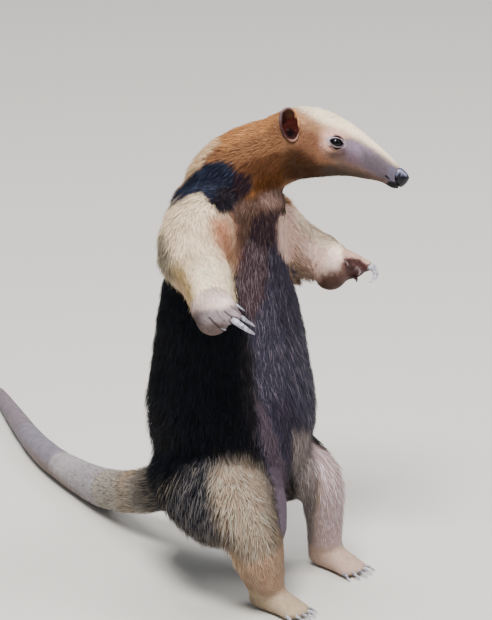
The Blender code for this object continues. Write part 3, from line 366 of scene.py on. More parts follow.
NEAR_MARKS = (
    (BODY, ((236, 262), (262, 250), (285, 250), (292, 270), (300, 300), (314, 345), (320, 390), (318, 440), (300, 480),
     (270, 480), (260, 440), (257, 390), (252, 340), (246, 300)), (60, 58, 74), (104, 96, 110), 0.25, 12),
    (BODY, ((236, 244), (246, 236), (262, 238), (270, 250), (270, 275), (264, 300), (252, 320), (240, 306), (234, 276)),
     (70, 52, 58), (108, 94, 100), 0.4, 9),
    (BODY, ((230, 206), (252, 196), (266, 190), (282, 184), (288, 206), (284, 214), (262, 214), (254, 226), (247, 242),
     (238, 250), (230, 232)), (80, 58, 50), (100, 78, 70), 0.35, 7),
    (BODY, ((262, 194), (276, 190), (286, 196), (284, 206), (270, 208), (262, 203)), (138, 110, 102), (106, 84, 76), 0.3, 7),
    (BODY, ((256, 216), (264, 211), (274, 210), (282, 213), (284, 232), (286, 250), (276, 254), (264, 248), (256, 240),
     (252, 228)), (48, 34, 42), (78, 62, 62), 0.25, 6),
    (BODY, ((272, 246), (283, 240), (289, 256), (296, 275), (303, 300), (309, 330), (298, 342), (285, 330), (277, 300),
     (272, 270)), (52, 48, 62), (90, 86, 100), 0.15, 7),
    (("torso", "thigh_right", "thigh_left"), ((268, 398), (292, 396), (314, 430), (314, 462), (300, 500), (290, 478),
     (281, 440)), (48, 44, 60), (72, 62, 78), 0.25, 8),
    (("torso", "thigh_right", "shank_right"), ((172, 480), (190, 469), (206, 461), (223, 457), (240, 455), (253, 457),
     (263, 466), (268, 482), (273, 505), (276, 530), (276, 566), (250, 566), (228, 552), (196, 536), (172, 520),
     (164, 498)), (32, 34, 42), (92, 88, 88), 0.42, 12),
    (("torso", "thigh_right", "shank_right", "foot_right"), ((211, 473), (226, 464), (246, 461), (260, 470), (267, 492),
     (272, 520), (277, 556), (286, 592), (262, 596), (246, 572), (234, 548), (220, 530), (211, 502)),
     (156, 136, 118), (172, 162, 146), 0.35, 20),
    (("shank_right", "foot_right"), ((238, 515), (276, 520), (286, 592), (262, 596), (246, 572), (236, 545)),
     (172, 138, 116), (194, 166, 138), 0.3, 16),
    (("torso", "thigh_right", "shank_right"), ((256, 403), (262, 401), (268, 412), (275, 432), (283, 457), (289, 480),
     (294, 505), (294, 528), (287, 543), (281, 532), (278, 505), (274, 480), (267, 455), (260, 430)),
     (86, 74, 86), (104, 88, 100), 0.1, 5),
    (("thigh_left", "shank_left", "torso"), ((296, 440), (312, 432), (320, 460), (318, 500), (310, 548), (300, 548),
     (298, 500), (294, 470)), (126, 114, 112), (162, 152, 148), 0.25, 8),
    (("thigh_left", "shank_left", "torso"), ((318, 446), (332, 450), (346, 470), (352, 500), (350, 540), (352, 560),
     (330, 566), (316, 556), (316, 520), (322, 490)), (194, 168, 166), (222, 206, 216), 0.3, 10),
    (ARM_AND_SIDE, ((160, 210), (172, 202), (181, 196), (196, 190), (204, 192), (211, 198), (219, 208), (230, 212),
     (236, 222), (238, 240), (237, 260), (234, 280), (236, 304), (228, 310), (196, 312), (188, 298), (182, 284),
     (174, 272), (164, 262), (154, 250), (150, 234), (153, 218)), (238, 214, 182), (204, 178, 154), 0.2, 4),
    (ARM_AND_SIDE, ((212, 216), (230, 213), (237, 228), (239, 248), (236, 268), (228, 264), (220, 246), (212, 232)),
     (196, 144, 116), (178, 122, 92), 0.3, 15),
    # painted shade: a grey mark along the back edge of the right arm, over its cream hair, for the shadow that falls
    # there
    (ARM_AND_SIDE, ((148, 236), (158, 226), (165, 238), (170, 258), (177, 276), (168, 282), (158, 268), (150, 254)),
     (150, 140, 120), (104, 94, 84), 0.35, 9),
    (ARM, ((170, 262), (180, 262), (189, 284), (196, 306), (188, 308), (180, 290), (172, 276)), (174, 150, 108),
     (148, 124, 84), 0.25, 10),
    (ARM, ((196, 262), (232, 258), (236, 290), (236, 306), (202, 308), (194, 290)), (254, 240, 210), (254, 206, 172),
     0.2, 10),
    (("hand_right",), ((190, 290), (236, 286), (242, 300), (226, 311), (206, 314), (192, 310)), (234, 210, 200),
     (204, 178, 170), 0.35, 12),
    (("hand_right",), ((196, 311), (222, 309), (240, 303), (250, 318), (238, 332), (222, 322), (206, 324), (198, 320)),
     (148, 134, 140), (116, 102, 106), 0.35, 9),
    (LEFT_ARM, ((280, 186), (292, 188), (308, 206), (324, 226), (338, 240), (350, 246), (342, 262), (334, 296),
     (312, 292), (296, 290), (280, 280), (276, 240)), (248, 216, 204), (226, 188, 172), 0.25, 4),
    (("torso",), ((281, 208), (300, 200), (300, 262), (291, 262), (286, 256), (282, 248), (281, 230)), (236, 200, 188),
     (214, 174, 158), 0.25, 4),
    (LEFT_ARM, ((284, 184), (302, 196), (318, 216), (334, 232), (350, 244), (340, 252), (326, 247), (310, 234),
     (294, 214)), (254, 232, 204), (244, 210, 178), 0.2, 10),
    (LEFT_ARM, ((280, 254), (298, 256), (314, 266), (322, 298), (300, 296), (282, 286)), (204, 170, 152),
     (168, 134, 116), 0.25, 22),
    (LEFT_ARM, ((318, 272), (328, 268), (340, 266), (347, 276), (350, 298), (338, 302), (320, 300), (312, 286)),
     (62, 41, 34), (92, 66, 58), 0.3, 20),
    (LEFT_ARM, ((288, 277), (312, 284), (330, 292), (348, 290), (348, 304), (320, 304), (288, 296)), (96, 66, 52),
     (122, 90, 74), 0.25, 10),
    (("hand_left",), ((342, 242), (358, 244), (370, 254), (376, 268), (366, 264), (353, 257), (342, 258)),
     (188, 154, 138), (164, 132, 114), 0.2, 4),
    (("neck", "torso", "head"), ((170, 190), (176, 174), (186, 156), (200, 142), (220, 130), (250, 118), (282, 106),
     (300, 150), (304, 176), (285, 184), (270, 188), (262, 192), (254, 192), (252, 184), (249, 178), (243, 173),
     (234, 167), (227, 162), (219, 159), (211, 160), (202, 164), (192, 171), (183, 181), (174, 196)),
     (134, 94, 66), (110, 72, 50), 0.2, 4),
    (("neck", "torso", "head"), ((168, 192), (176, 172), (188, 154), (200, 142), (220, 130), (224, 140), (208, 152),
     (200, 164), (190, 173), (180, 184), (170, 200)), (214, 184, 148), (196, 154, 116), 0.25, 7),
    (("neck", "head"), ((216, 132), (244, 118), (272, 106), (280, 118), (264, 130), (240, 140), (222, 150)),
     (172, 120, 78), (156, 100, 58), 0.2, 10),
    (("neck", "head", "torso"), ((234, 168), (262, 156), (292, 150), (316, 156), (316, 170), (284, 184), (268, 190),
     (256, 194), (251, 182), (243, 174)), (92, 58, 36), (76, 48, 28), 0.25, 12),
    (("neck", "head", "torso"), ((254, 184), (264, 175), (284, 168), (306, 162), (320, 166), (300, 178), (284, 184),
     (268, 190), (256, 194)), (76, 44, 18), (98, 60, 30), 0.25, 8),
    # the black strap over the right shoulder; its bluish tint and paler blue odd hairs are painted sheen
    (("torso", "neck", "upper_arm_right"), ((162, 206), (169, 196), (174, 189), (183, 181), (192, 171), (202, 164),
     (211, 160), (219, 159), (227, 162), (234, 167), (243, 173), (249, 178), (253, 186), (251, 192), (245, 196),
     (238, 198), (235, 206), (230, 211), (225, 210), (219, 208), (214, 203), (210, 197), (205, 192), (200, 189),
     (190, 192), (183, 196), (176, 200), (168, 206)), (27, 31, 46), (54, 61, 84), 0.12, 3),
    (("torso", "neck", "upper_arm_right"), ((218, 187), (236, 184), (248, 193), (238, 200), (234, 207), (229, 212),
     (219, 209), (212, 199)), (18, 13, 20), (40, 36, 46), 0.2, 8),
    (("torso", "neck"), ((235, 166), (243, 172), (250, 178), (254, 186), (252, 193), (245, 197), (238, 199), (234, 192),
     (233, 180)), (32, 20, 30), (58, 42, 42), 0.25, 6),
)
FACE_MARKS = (
    (((284, 92), (306, 88), (328, 92), (348, 102), (364, 116), (378, 132), (392, 148), (406, 166), (394, 168),
     (374, 153), (358, 141), (344, 133), (332, 128), (320, 124), (308, 117), (298, 109)), (254, 234, 202),
     (248, 214, 176), 0.2, 16),
    (((292, 110), (306, 114), (318, 121), (328, 127), (326, 135), (318, 139), (304, 135), (292, 128)), (154, 114, 82),
     (136, 96, 66), 0.2, 12),
    (((292, 126), (306, 127), (316, 132), (322, 140), (327, 151), (336, 157), (330, 166), (312, 161), (300, 153),
     (291, 146)), (120, 80, 56), (104, 66, 44), 0.2, 12),
    (((286, 150), (300, 149), (308, 154), (316, 162), (332, 165), (338, 174), (330, 186), (300, 188), (284, 170)),
     (60, 33, 13), (76, 46, 24), 0.2, 13),
    (((322, 131), (332, 128), (344, 132), (349, 137), (343, 141), (332, 140), (329, 146), (331, 151), (326, 153),
     (321, 147)), (208, 162, 146), (190, 142, 128), 0.2, 13),
    (((343, 140), (350, 138), (360, 141), (372, 149), (384, 158), (398, 169), (398, 186), (388, 184), (376, 178),
     (362, 172), (350, 168), (340, 163), (336, 157), (339, 149)), (96, 78, 88), (68, 56, 64), 0.35, 13),
    (((346, 140), (356, 141), (366, 146), (377, 154), (390, 164), (396, 174), (386, 175), (370, 162), (357, 155),
     (347, 149)), (126, 110, 130), (84, 74, 92), 0.4, 11),
    (((362, 150), (380, 155), (398, 170), (398, 186), (384, 182), (370, 174), (362, 165)), (86, 76, 84), (62, 54, 64),
     0.4, 12),
    (((334, 154), (344, 158), (356, 166), (372, 174), (384, 182), (366, 180), (350, 174), (336, 168)), (96, 74, 66),
     (78, 58, 52), 0.2, 8),
    (((328, 163), (340, 166), (352, 170), (366, 175), (380, 181), (392, 198), (380, 200), (360, 192), (340, 188),
     (318, 184)), (62, 46, 36), (50, 34, 24), 0.2, 10),
    (((324, 151), (336, 152), (346, 151), (344, 157), (334, 160), (324, 157)), (72, 54, 48), (60, 42, 38), 0.2, 8),
    (((389, 166), (396, 166), (398, 174), (396, 184), (390, 183), (387, 175)), (92, 86, 102), (64, 58, 76), 0.2, 4),
    (((384, 183), (392, 181.5), (401, 184), (406, 189), (400, 196), (386, 194)), (12, 8, 12), (22, 18, 18), 0.2, 2),
)
AIM = np.array((8.4, -7.0, 290.9))
AZIMUTH, ELEVATION, DISTANCE = math.radians(-40), math.radians(19), 5500.0
TOWARDS = np.array(
    (math.sin(AZIMUTH) * math.cos(ELEVATION), -math.cos(AZIMUTH) * math.cos(ELEVATION), math.sin(ELEVATION))
)
ACROSS = np.array((math.cos(AZIMUTH), math.sin(AZIMUTH), 0))
OVER = np.cross(TOWARDS, ACROSS)
VIEW_MIDDLE = (246.0, 310.0)


def seen(points):
    """Where points lie in the view from the front of the near side, in millimetres across and down."""
    away = points - AIM
    near = DISTANCE / (DISTANCE - away @ TOWARDS)
    return np.stack([VIEW_MIDDLE[0] + away @ ACROSS * near, VIEW_MIDDLE[1] - away @ OVER * near], 1)


def turned_on(points, normals):
    """Where points lie in that view and how far each one's surface is turned to it, from 0 to 1."""
    towards = unit(AIM + TOWARDS * DISTANCE - points)
    return seen(points), eased(((normals * towards).sum(1) + 0.12) / 0.3)


def mirrored(points, normals):
    """Points and normals with those of the head's left half laid over its right half."""
    local = in_head(points)
    flip = np.where(local[:, :1] < 0, -1.0, 1.0) * (1, 0, 0) + (0, 1, 1)
    return from_head(local * flip), (normals @ HEAD_AXES * flip) @ HEAD_AXES.T


def depth_in(spots, outline):
    """How far inside a flat outline every spot is. It is negative outside."""
    outline = np.array(outline, float)
    gap = np.full(len(spots), 1e9)
    within = np.zeros(len(spots), bool)
    for a, b in zip(outline, np.roll(outline, -1, 0)):
        way = b - a
        share = np.clip((spots - a) @ way / (way @ way), 0, 1)
        gap = np.minimum(gap, np.linalg.norm(spots - a - share[:, None] * way, axis=1))
        if a[1] != b[1]:
            level = (a[1] > spots[:, 1]) != (b[1] > spots[:, 1])
            within ^= level & (spots[:, 0] < a[0] + (spots[:, 1] - a[1]) * way[0] / way[1])
    return np.where(within, gap, -gap)


def linear(tone):
    """A screen colour from 0 to 255 as the light it stands for."""
    tone = np.array(tone, float) / 255
    return np.where(tone > 0.04045, ((tone + 0.055) / 1.055) ** 2.4, tone / 12.92)


def owners_of(points):
    """The name of the solid of flesh that each point is nearest to."""
    spots = [points_of(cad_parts[name].data) for name in FLESH]
    tree = KDTree(sum(len(group) for group in spots))
    labels = []
    for label, group in enumerate(spots):
        for spot in group:
            tree.insert(spot, len(labels))
            labels.append(label)
    tree.balance()
    return np.array([labels[tree.find(point)[1]] for point in points])


def painted(points, normals, owners):
    """The colour, the odd hairs' colour and their share at every point."""
    tones = np.empty((len(points), 7))
    for label, name in enumerate(FLESH):
        key = next(key for key in BASE_TONES if name.startswith(key))
        main, odd, share = BASE_TONES[key]
        tones[owners == label] = (*linear(main), *linear(odd), share)
    tones = relaxed(tones, 10)

    def covered(cover, main, odd, share):
        return tones * (1 - cover[:, None]) + cover[:, None] * (*linear(main), *linear(odd), share)

    ragged = 0.7 * wander(points, 9, 4) + 0.4 * wander(points, 4, 5)
    for middle, reach, main, odd, share, edge in PATCHES:
        gap = np.linalg.norm((points - middle) / reach, axis=1) + 0.12 * ragged
        tones = covered(eased((1 + edge - gap) / (2 * edge)), main, odd, share)
    for line, reach, main, odd, share, edge in BANDS:
        gap = distance_to_line(points, np.array(line, float)) / reach + 0.12 * ragged
        tones = covered(eased((1 + edge - gap) / (2 * edge)), main, odd, share)
    on_face = in_head(points)[:, 1] > -58
    before_arm = np.where(owners == FLESH.index("torso"), eased((26 - points[:, 1]) / 24), 1.0)
    face = [(("head", "neck"), *row) for row in FACE_MARKS]
    for (spots, open_to), table in (
        (turned_on(points, normals), NEAR_MARKS),
        ((seen(mirrored(points, normals)[0]), 1.0), face),
    ):
        for parts, outline, main, odd, share, edge in table:
            chosen = np.isin(owners, [FLESH.index(part) for part in parts])
            chosen = chosen * (on_face if table is face else before_arm if parts is ARM_AND_SIDE else 1.0)
            depth = depth_in(spots, outline) + (0.6 if table is face else 1.3) * ragged
            tones = covered(eased(0.5 + depth / edge) * open_to * chosen, main, odd, share)
    return tones


owners = owners_of(hide_points)
along_coat = lie[:, :3] - hide_normals * (lie[:, :3] * hide_normals).sum(1, keepdims=True)
leaning = hide_points + unit(along_coat) * (0.45 * lie[:, 4] * eased((lie[:, 4] - 2) / 4))[:, None]
tones = painted(leaning, hide_normals, owners)

# Lids, lips and creases, which the skin itself forms: a rolled rim round each eye with folds beside it, the short slit
# of the mouth with its dark lips, wrinkles on the hand and the hollow of the open palm. Painted shade darkens the
# creases, the slit of the mouth and the hollow of the palm.
LID_THICKNESS = 1.0
# In both tables the darker tone laid along each groove is painted shade in the crease. A row gives the crease's line in
# the view, half its width, its depth, that tone and how strongly it is laid.
FACE_CREASES = (
    (((334.2, 135.1), (336.8, 135.3), (339.4, 136.2), (341.6, 138.0), (343.5, 140.7)), 0.8, 0.55, (96, 80, 84), 0.8),
    (((343.5, 144.2), (343.6, 145.6), (342.9, 146.8)), 0.9, 0.6, (60, 50, 62), 0.9),
    (((330.4, 147.2), (332.4, 149.0), (334.7, 150.0), (337.0, 149.4), (338.8, 148.8), (342, 148.2)), 0.9, 0.6,
     (70, 54, 60), 0.85),
    (((338.5, 151.6), (341.5, 151.4), (344, 150.2)), 0.8, 0.35, (92, 72, 84), 0.6),
    (((320.9, 147.0), (323.2, 149.0), (325.1, 150.4), (327.2, 153.1), (329.5, 154.6)), 1.2, 0.45, (96, 66, 50), 0.7),
)
HAND_CREASES = (
    (((209, 318), (213, 322.5), (222, 330), (231, 334)), 1.0, 1.0, (38, 28, 30), 0.95),
    (((224, 311), (228, 314.5), (233, 318)), 0.9, 0.9, (50, 38, 40), 0.9),
    (((231, 306), (237, 310), (243, 316)), 0.9, 0.8, (62, 50, 52), 0.8),
    (((216, 311), (219, 317), (226, 323)), 0.9, 0.5, (96, 82, 84), 0.6),
    (((345, 289), (352, 291), (361, 290)), 1.2, 0.6, (84, 60, 58), 0.7),
)
PALM = ((343, 259), (352, 257.5), (361, 259), (367, 265), (370, 274), (368, 281), (360, 286), (351, 287),
        (346, 280), (344, 270))
PALM_PADS = (((351, 266), 5.5), ((360, 273), 5.0), ((352, 279), 4.5))
PALM_DEPTH = 7.0
hide_points = hide_points - hide_normals * inset[:, None]
bare = np.zeros(len(hide_points))


def tinted(cover, tone):
    """Lays a colour over the hide's tones, as much of it at each point as cover says."""
    tones[:, :3] = tones[:, :3] * (1 - cover[:, None]) + cover[:, None] * linear(tone)


for sign, seat in zip((1, -1), eye_seats):
    outward = unit(HEAD_AXES @ (EYE_AXIS * (sign, 1, 1)))
    ahead = unit(HEAD_AXES[:, 1] - outward * (HEAD_AXES[:, 1] @ outward))
    over = np.cross(ahead, outward) * -sign
    tilt = math.radians(EYE_TILT)
    ahead, over = ahead * math.cos(tilt) - over * math.sin(tilt), over * math.cos(tilt) + ahead * math.sin(tilt)
    frame_of_eye = np.stack([ahead, outward, over], 1)
    local = (hide_points - seat) @ frame_of_eye
    almond = np.abs(local[:, [0, 2]] / EYE_OPENING) ** EYE_ALMOND
    flat = almond.sum(1) ** (1 / EYE_ALMOND)
    reach = np.hypot(local[:, 0], local[:, 2])
    near = (reach < 16) & (local[:, 1] > -8)
    ball = np.sqrt(np.maximum(EYE_BALL**2 - reach**2, 0))
    lid = np.sqrt(np.maximum((EYE_BALL + LID_THICKNESS) ** 2 - reach**2, 0))
    skin = np.maximum(local[:, 1], lid * eased((1.75 - flat) / 0.5))
    skin = skin + 0.45 * np.exp(-(((flat - 1.15) / 0.14) ** 2))
    skin = np.where(flat < 1, ball - 1.4, skin)
    local[:, 1] = np.where(near, skin, local[:, 1])
    hide_points = np.where(near[:, None], seat + local @ frame_of_eye.T, hide_points)
    ring = eased((1.95 - flat) / 0.4) * near
    above = eased((local[:, 2] + 1.5) / 4)
    tinted(0.85 * ring, (150, 138, 146))
    tinted(0.6 * ring * above * eased((2.5 - local[:, 0]) / 4), (176, 164, 180))
    tinted(eased((1.34 - flat) / 0.16) * near * (0.35 + 0.65 * above), (58, 44, 58))
    tinted(eased((1.16 - flat) / 0.1) * near, (24, 18, 24))
    bare = np.maximum(bare, eased((1.9 - flat) / 0.3) * near)
hide_normals = normals_at(hide_points, hide_faces)
turned_to_view = turned_on(*mirrored(hide_points, hide_normals))
for (places, open_to), part_names, table in (
    (turned_to_view, ("head",), FACE_CREASES),
    (turned_on(hide_points, hide_normals), ("hand_right", "hand_left"), HAND_CREASES),
):
    chosen = open_to * np.isin(owners, [FLESH.index(part) for part in part_names])
    for line, half, depth, tone, strength in table:
        groove = np.exp(-((distance_to_line(places, np.array(line, float)) / half) ** 2)) * chosen
        hide_points = hide_points - hide_normals * (depth * groove)[:, None]
        # painted shade: darkens the skin along each crease
        tinted(strength * groove, tone)
places, open_to = turned_on(hide_points, hide_normals)
in_palm = open_to * (owners == FLESH.index("hand_left"))
hollow = eased(depth_in(places, PALM) / 7) * in_palm
raised = sum(np.exp(-((np.linalg.norm(places - spot, axis=1) / reach) ** 4)) for spot, reach in PALM_PADS)
hide_points = hide_points - TOWARDS * (hollow * (PALM_DEPTH - 2.6 * raised))[:, None]
# painted shade in the hollow of the palm, laid over its own dark brown-red skin, and darker again over the pads within
# the hollow
tinted(eased(depth_in(places, PALM) / 4 + 0.4) * in_palm, (84, 54, 52))
tinted(0.7 * hollow * np.minimum(raised, 1), (58, 40, 42))
by_mouth = distance_to_line(in_head(hide_points), mouth_line)
at_corner = 0.3 + 0.7 * eased((53.5 - in_head(hide_points)[:, 1]) / 3)
lips = 0.4 * np.exp(-((by_mouth / 2.4) ** 2)) - 2.0 * np.exp(-((by_mouth / 0.8) ** 2)) * at_corner
hide_points = hide_points + hide_normals * lips[:, None]
# the dark lips, with painted shade in the slit between them, most towards the corners
tinted(np.exp(-((by_mouth / 1.1) ** 2)) * at_corner, (22, 14, 15))
bare = np.maximum(bare, np.exp(-((by_mouth / 2.2) ** 2)))
nose_middle = (np.array(sum(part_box("nose"), Vector()) / 2) - ORIGIN) / MM
bare = np.maximum(bare, eased((12 - np.linalg.norm(hide_points - nose_middle, axis=1)) / 2))
on_hands = np.isin(owners, [FLESH.index("hand_right"), FLESH.index("hand_left")])
bare = np.maximum(bare, 0.72 * on_hands * eased((1.5 - inset) / 1.1))
hide_points[:, 2] = np.maximum(hide_points[:, 2], 0)
hide_normals = normals_at(hide_points, hide_faces)


SCALE_RING = 4.6


def coloured(obj, colours):
    """Keeps a colour for every vertex of the object, which its material reads."""
    layer = obj.data.color_attributes.new("tone", "FLOAT_COLOR", "POINT")
    layer.data.foreach_set("color", np.hstack([colours, np.ones((len(colours), 1))]).ravel())


def surface(name, roughness, bump_scale, bump_height, mottling, **constants):
    """A material that shows the painted colours with fine variation and a fine uneven surface."""
    made = bpy.data.materials.new(name)
    made.use_nodes = True
    nodes, links = made.node_tree.nodes, made.node_tree.links
    shader = nodes["Principled BSDF"]
    shader.inputs["Roughness"].default_value = roughness
    for socket, value in constants.items():
        shader.inputs[socket.replace("_", " ")].default_value = value
    tone = nodes.new("ShaderNodeAttribute")
    tone.attribute_name = "tone"
    place = nodes.new("ShaderNodeTexCoord")
    mottle = nodes.new("ShaderNodeTexNoise")
    mottle.inputs["Scale"].default_value = bump_scale * 0.35
    mottle.inputs["Detail"].default_value = 4
    links.new(place.outputs["Object"], mottle.inputs["Vector"])
    level = nodes.new("ShaderNodeMapRange")
    level.inputs["To Min"].default_value = 1 - mottling
    level.inputs["To Max"].default_value = 1 + mottling
    links.new(mottle.outputs["Fac"], level.inputs["Value"])
    shade = nodes.new("ShaderNodeMix")
    shade.data_type = "RGBA"
    shade.blend_type = "MULTIPLY"
    shade.inputs["Factor"].default_value = 1
    links.new(tone.outputs["Color"], shade.inputs["A"])
    links.new(level.outputs["Result"], shade.inputs["B"])
    links.new(shade.outputs["Result"], shader.inputs["Base Color"])
    grain = nodes.new("ShaderNodeTexNoise")
    grain.inputs["Scale"].default_value = bump_scale
    grain.inputs["Detail"].default_value = 6
    links.new(place.outputs["Object"], grain.inputs["Vector"])
    bump = nodes.new("ShaderNodeBump")
    bump.inputs["Strength"].default_value = 1
    bump.inputs["Distance"].default_value = bump_height
    links.new(grain.outputs["Fac"], bump.inputs["Height"])
    links.new(bump.outputs["Normal"], shader.inputs["Normal"])
    return made


hide.data.vertices.foreach_set("co", (ORIGIN + hide_points * MM).ravel())
hide.data.update()
hide.data.shade_smooth()
# the skin under the coat is darker, partly for its own darker undercoat and partly as painted shade beneath the locks;
# less so where the coat is short, and not at all where the skin is bare
under_coat = 0.66 + 0.34 * np.maximum(0.6 * eased((2.6 - inset) / 2), bare)
rings = np.sin(hide_points[:, 1] * 2 * math.pi / SCALE_RING + 1.2 * wander(hide_points, 22, 71))
blotches = 0.10 * rings + 0.09 * wander(hide_points, 11, 72)
under_coat *= 1 + blotches * eased((hide_points[:, 1] - 165) / 60)
coloured(hide, tones[:, :3] * under_coat[:, None])
hide.data.materials.append(surface("skin", 0.6, 900, 0.0004, 0.3, Specular_IOR_Level=0.2))
bpy.context.view_layer.objects.active = hide
hide.select_set(True)
bpy.ops.object.mode_set(mode="EDIT")
bpy.ops.mesh.select_all(action="SELECT")
bpy.ops.uv.smart_project(angle_limit=math.radians(66), island_margin=0.001)
bpy.ops.object.mode_set(mode="OBJECT")
hide.data.uv_layers[0].name = "OFBake"
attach(hide, "root")
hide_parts(*FLESH)

# The eyes: glossy, almost black balls set well back under the lids.
# The iris is so dark a brown that only its rim shows against the pupil.


def ball_of(name, middle, radius, axes, rings, sides):
    """A round ball with its pole along the second of its axes, as (object, local unit points)."""
    turns = np.linspace(0, math.pi, rings + 1)[1:-1]
    around = np.arange(sides) * 2 * math.pi / sides
    grid = [(math.sin(t) * math.cos(a), math.cos(t), math.sin(t) * math.sin(a)) for t in turns for a in around]
    local = np.array([(0, 1, 0), *grid, (0, -1, 0)], float)
    faces = []
    for k in range(sides):
        n = (k + 1) % sides
        faces.append((0, 1 + n, 1 + k))
        for ring in range(rings - 2):
            lower, upper = 1 + ring * sides, 1 + (ring + 1) * sides
            faces += [(lower + k, lower + n, upper + n), (lower + k, upper + n, upper + k)]
        last = 1 + (rings - 2) * sides
        faces.append((last + k, last + n, len(local) - 1))
    made = placed_mesh(name, middle + (local * radius) @ np.array(axes), np.array(faces))
    made.data.shade_smooth()
    return made, local


for sign, side, seat in zip((1, -1), ("right", "left"), eye_seats):
    outward = unit(HEAD_AXES @ (EYE_AXIS * (sign, 1, 1)))
    along = unit(np.cross(outward, HEAD_AXES[:, 2]))
    eye, local = ball_of(f"eyeball_{side}", seat, EYE_BALL, (along, outward, np.cross(along, outward)), 28, 40)
    off_axis = np.hypot(local[:, 0], local[:, 2]) * EYE_BALL
    iris = eased((off_axis - 2.2) / 0.5) * eased((4.8 - off_axis) / 0.5)
    white = eased((off_axis - 4.9) / 0.5)
    colour = np.outer(1 - iris - white, linear((3, 3, 5))) + np.outer(iris, linear((10, 8, 10)))
    coloured(eye, colour + np.outer(white, linear((30, 24, 28))))
    wet = surface(f"wet eye {side}", 0.2, 2000, 0.00001, 0.1, Specular_IOR_Level=0.15, Coat_Weight=0.22)
    wet.node_tree.nodes["Principled BSDF"].inputs["Coat Roughness"].default_value = 0.12
    eye.data.materials.append(wet)
    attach(eye, "root")
    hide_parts(f"eye_{side}")

# The ears: short round cups of thin bare skin with an uneven greyish rim, dark inside.
# Across the cup runs a fold, and the pocket below it closes round a lump beside the ear's opening.


def smoothed_copy(name, node, levels):
    """A finer, rounded copy of a solid in the same place."""
    bm = bmesh.new()
    bm.from_mesh(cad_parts[node].data)
    bmesh.ops.remove_doubles(bm, verts=bm.verts, dist=1e-6)
    mesh = bpy.data.meshes.new(name)
    bm.to_mesh(mesh)
    bm.free()
    made = bpy.data.objects.new(name, mesh)
    bpy.context.scene.collection.objects.link(made)
    finer = made.modifiers.new("finer", "SUBSURF")
    finer.levels = levels
    finer.render_levels = levels
    evaluated(made)
    made.data.shade_smooth()
    return made


EAR_AXIS = np.array((0.86, 0.48, -0.02))
EAR_HALF = (10.4, 17.5)
EAR_RIM = 0.93
EAR_TONES = (  # whether inside the rim, how far ahead and up, reach both ways, colour
    (False, (-6, 9), (8, 10), (88, 76, 82)),
    (False, (-9, -4), (6, 9), (76, 56, 62)),
    (False, (2, -16), (9, 5), (138, 104, 94)),
    (False, (9, 4), (5, 15), (184, 134, 90)),
    (True, (0, 0), (30, 30), (56, 21, 16)),
    (True, (0.5, 15.5), (8, 3.4), (118, 98, 92)),
    (True, (-6, 8), (3.5, 7), (104, 84, 86)),
    (True, (3, 10), (4.5, 5), (84, 56, 42)),
    (True, (-6, -8), (2.5, 5), (58, 36, 36)),
    # painted shade: the ear's opening, deep in the cup, painted near black
    (True, (1.5, -9.5), (4.6, 5.6), (8, 3, 4)),
    (True, (-1.5, 1.5), (3, 2.2), (36, 18, 18)),
    (True, (0.3, -6.4), (1.7, 1.5), (50, 30, 28)),
)
EAR_FOLD, EAR_LUMP = -2.2, (0.3, -6.4)
for sign, side, middle in ((1, "right", ear_middles[0]), (-1, "left", ear_middles[1])):
    ear = smoothed_copy(f"ear_shell_{side}", f"ear_{side}", 2)
    spots = points_of(ear.data)
    outward = unit(HEAD_AXES @ (EAR_AXIS * (sign, 1, 1)))
    upward = HEAD_AXES @ np.array((0.12 * sign, -0.18, 1))
    upward = unit(upward - outward * (upward @ outward))
    ahead, up = ((spots - middle) @ np.stack([np.cross(upward, outward) * sign, upward], 1)).T
    rim = eased((EAR_RIM - np.hypot(ahead / EAR_HALF[0], up / EAR_HALF[1]) + 0.05 * wander(spots, 8, 61)) / 0.08)
    colour = np.outer(np.ones(len(spots)), linear((112, 92, 94)))
    for inside, place, reach, tone in EAR_TONES:
        cover = np.exp(-(np.hypot((ahead - place[0]) / reach[0], (up - place[1]) / reach[1]) ** 4))
        cover = cover * (rim if inside else 1 - rim)
        colour = colour * (1 - cover[:, None]) + np.outer(cover, linear(tone))
    colour = colour * (1 + 0.12 * wander(spots, 3, 62))[:, None]
    fold = 0.7 * np.exp(-(((up - EAR_FOLD - 0.12 * ahead) / 1.2) ** 2)) * rim
    lump = 1.6 * np.exp(-((np.hypot(ahead - EAR_LUMP[0], up - EAR_LUMP[1]) / 2.4) ** 2)) * rim
    ragged = 0.35 * wander(spots, 7, 63) * (1 - rim)
    spots = spots + outward * (fold + lump + ragged)[:, None]
    ear.data.vertices.foreach_set("co", (ORIGIN + spots * MM).ravel())
    ear.data.update()
    coloured(ear, np.clip(colour, 0, 1))
    ear.data.materials.append(surface(f"ear skin {side}", 0.8, 700, 0.0003, 0.2, Specular_IOR_Level=0.06))
    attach(ear, "root")
    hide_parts(f"ear_{side}")

# The nose: a moist, blue-black pad at the end of the snout, pebbled like fine leather and blunt above and below its
# tip. A curved nostril opens on each side, with a pale lobe above and behind it. Its top is painted paler and bluer as
# a painted reflection, a painted highlight runs along a ridge above each nostril, and painted shade darkens the
# nostrils.
NOSE_HALF = (8.6, 8.4, 9.6)
NOSE_WEDGE, NOSE_LEAN = 1.5, 0.10
nose_middle = from_head((0, 62.8, -26.4))
nose, local = ball_of("nose_pad", nose_middle, 1, HEAD_AXES.T * np.array(NOSE_HALF)[:, None], 56, 88)
corner = (np.abs(local[:, 1:]) ** NOSE_WEDGE).sum(1) ** (1 / NOSE_WEDGE)
flat = (np.hypot(local[:, 1], local[:, 2]) / np.maximum(corner, 1e-9))[:, None]
shape = local * np.hstack([np.ones_like(flat), flat, flat])
shape[:, 1] -= NOSE_LEAN * np.maximum(local[:, 2], 0)
spots = shape * NOSE_HALF
turned = np.stack([np.abs(spots[:, 0]), spots[:, 1], spots[:, 2]], 1)
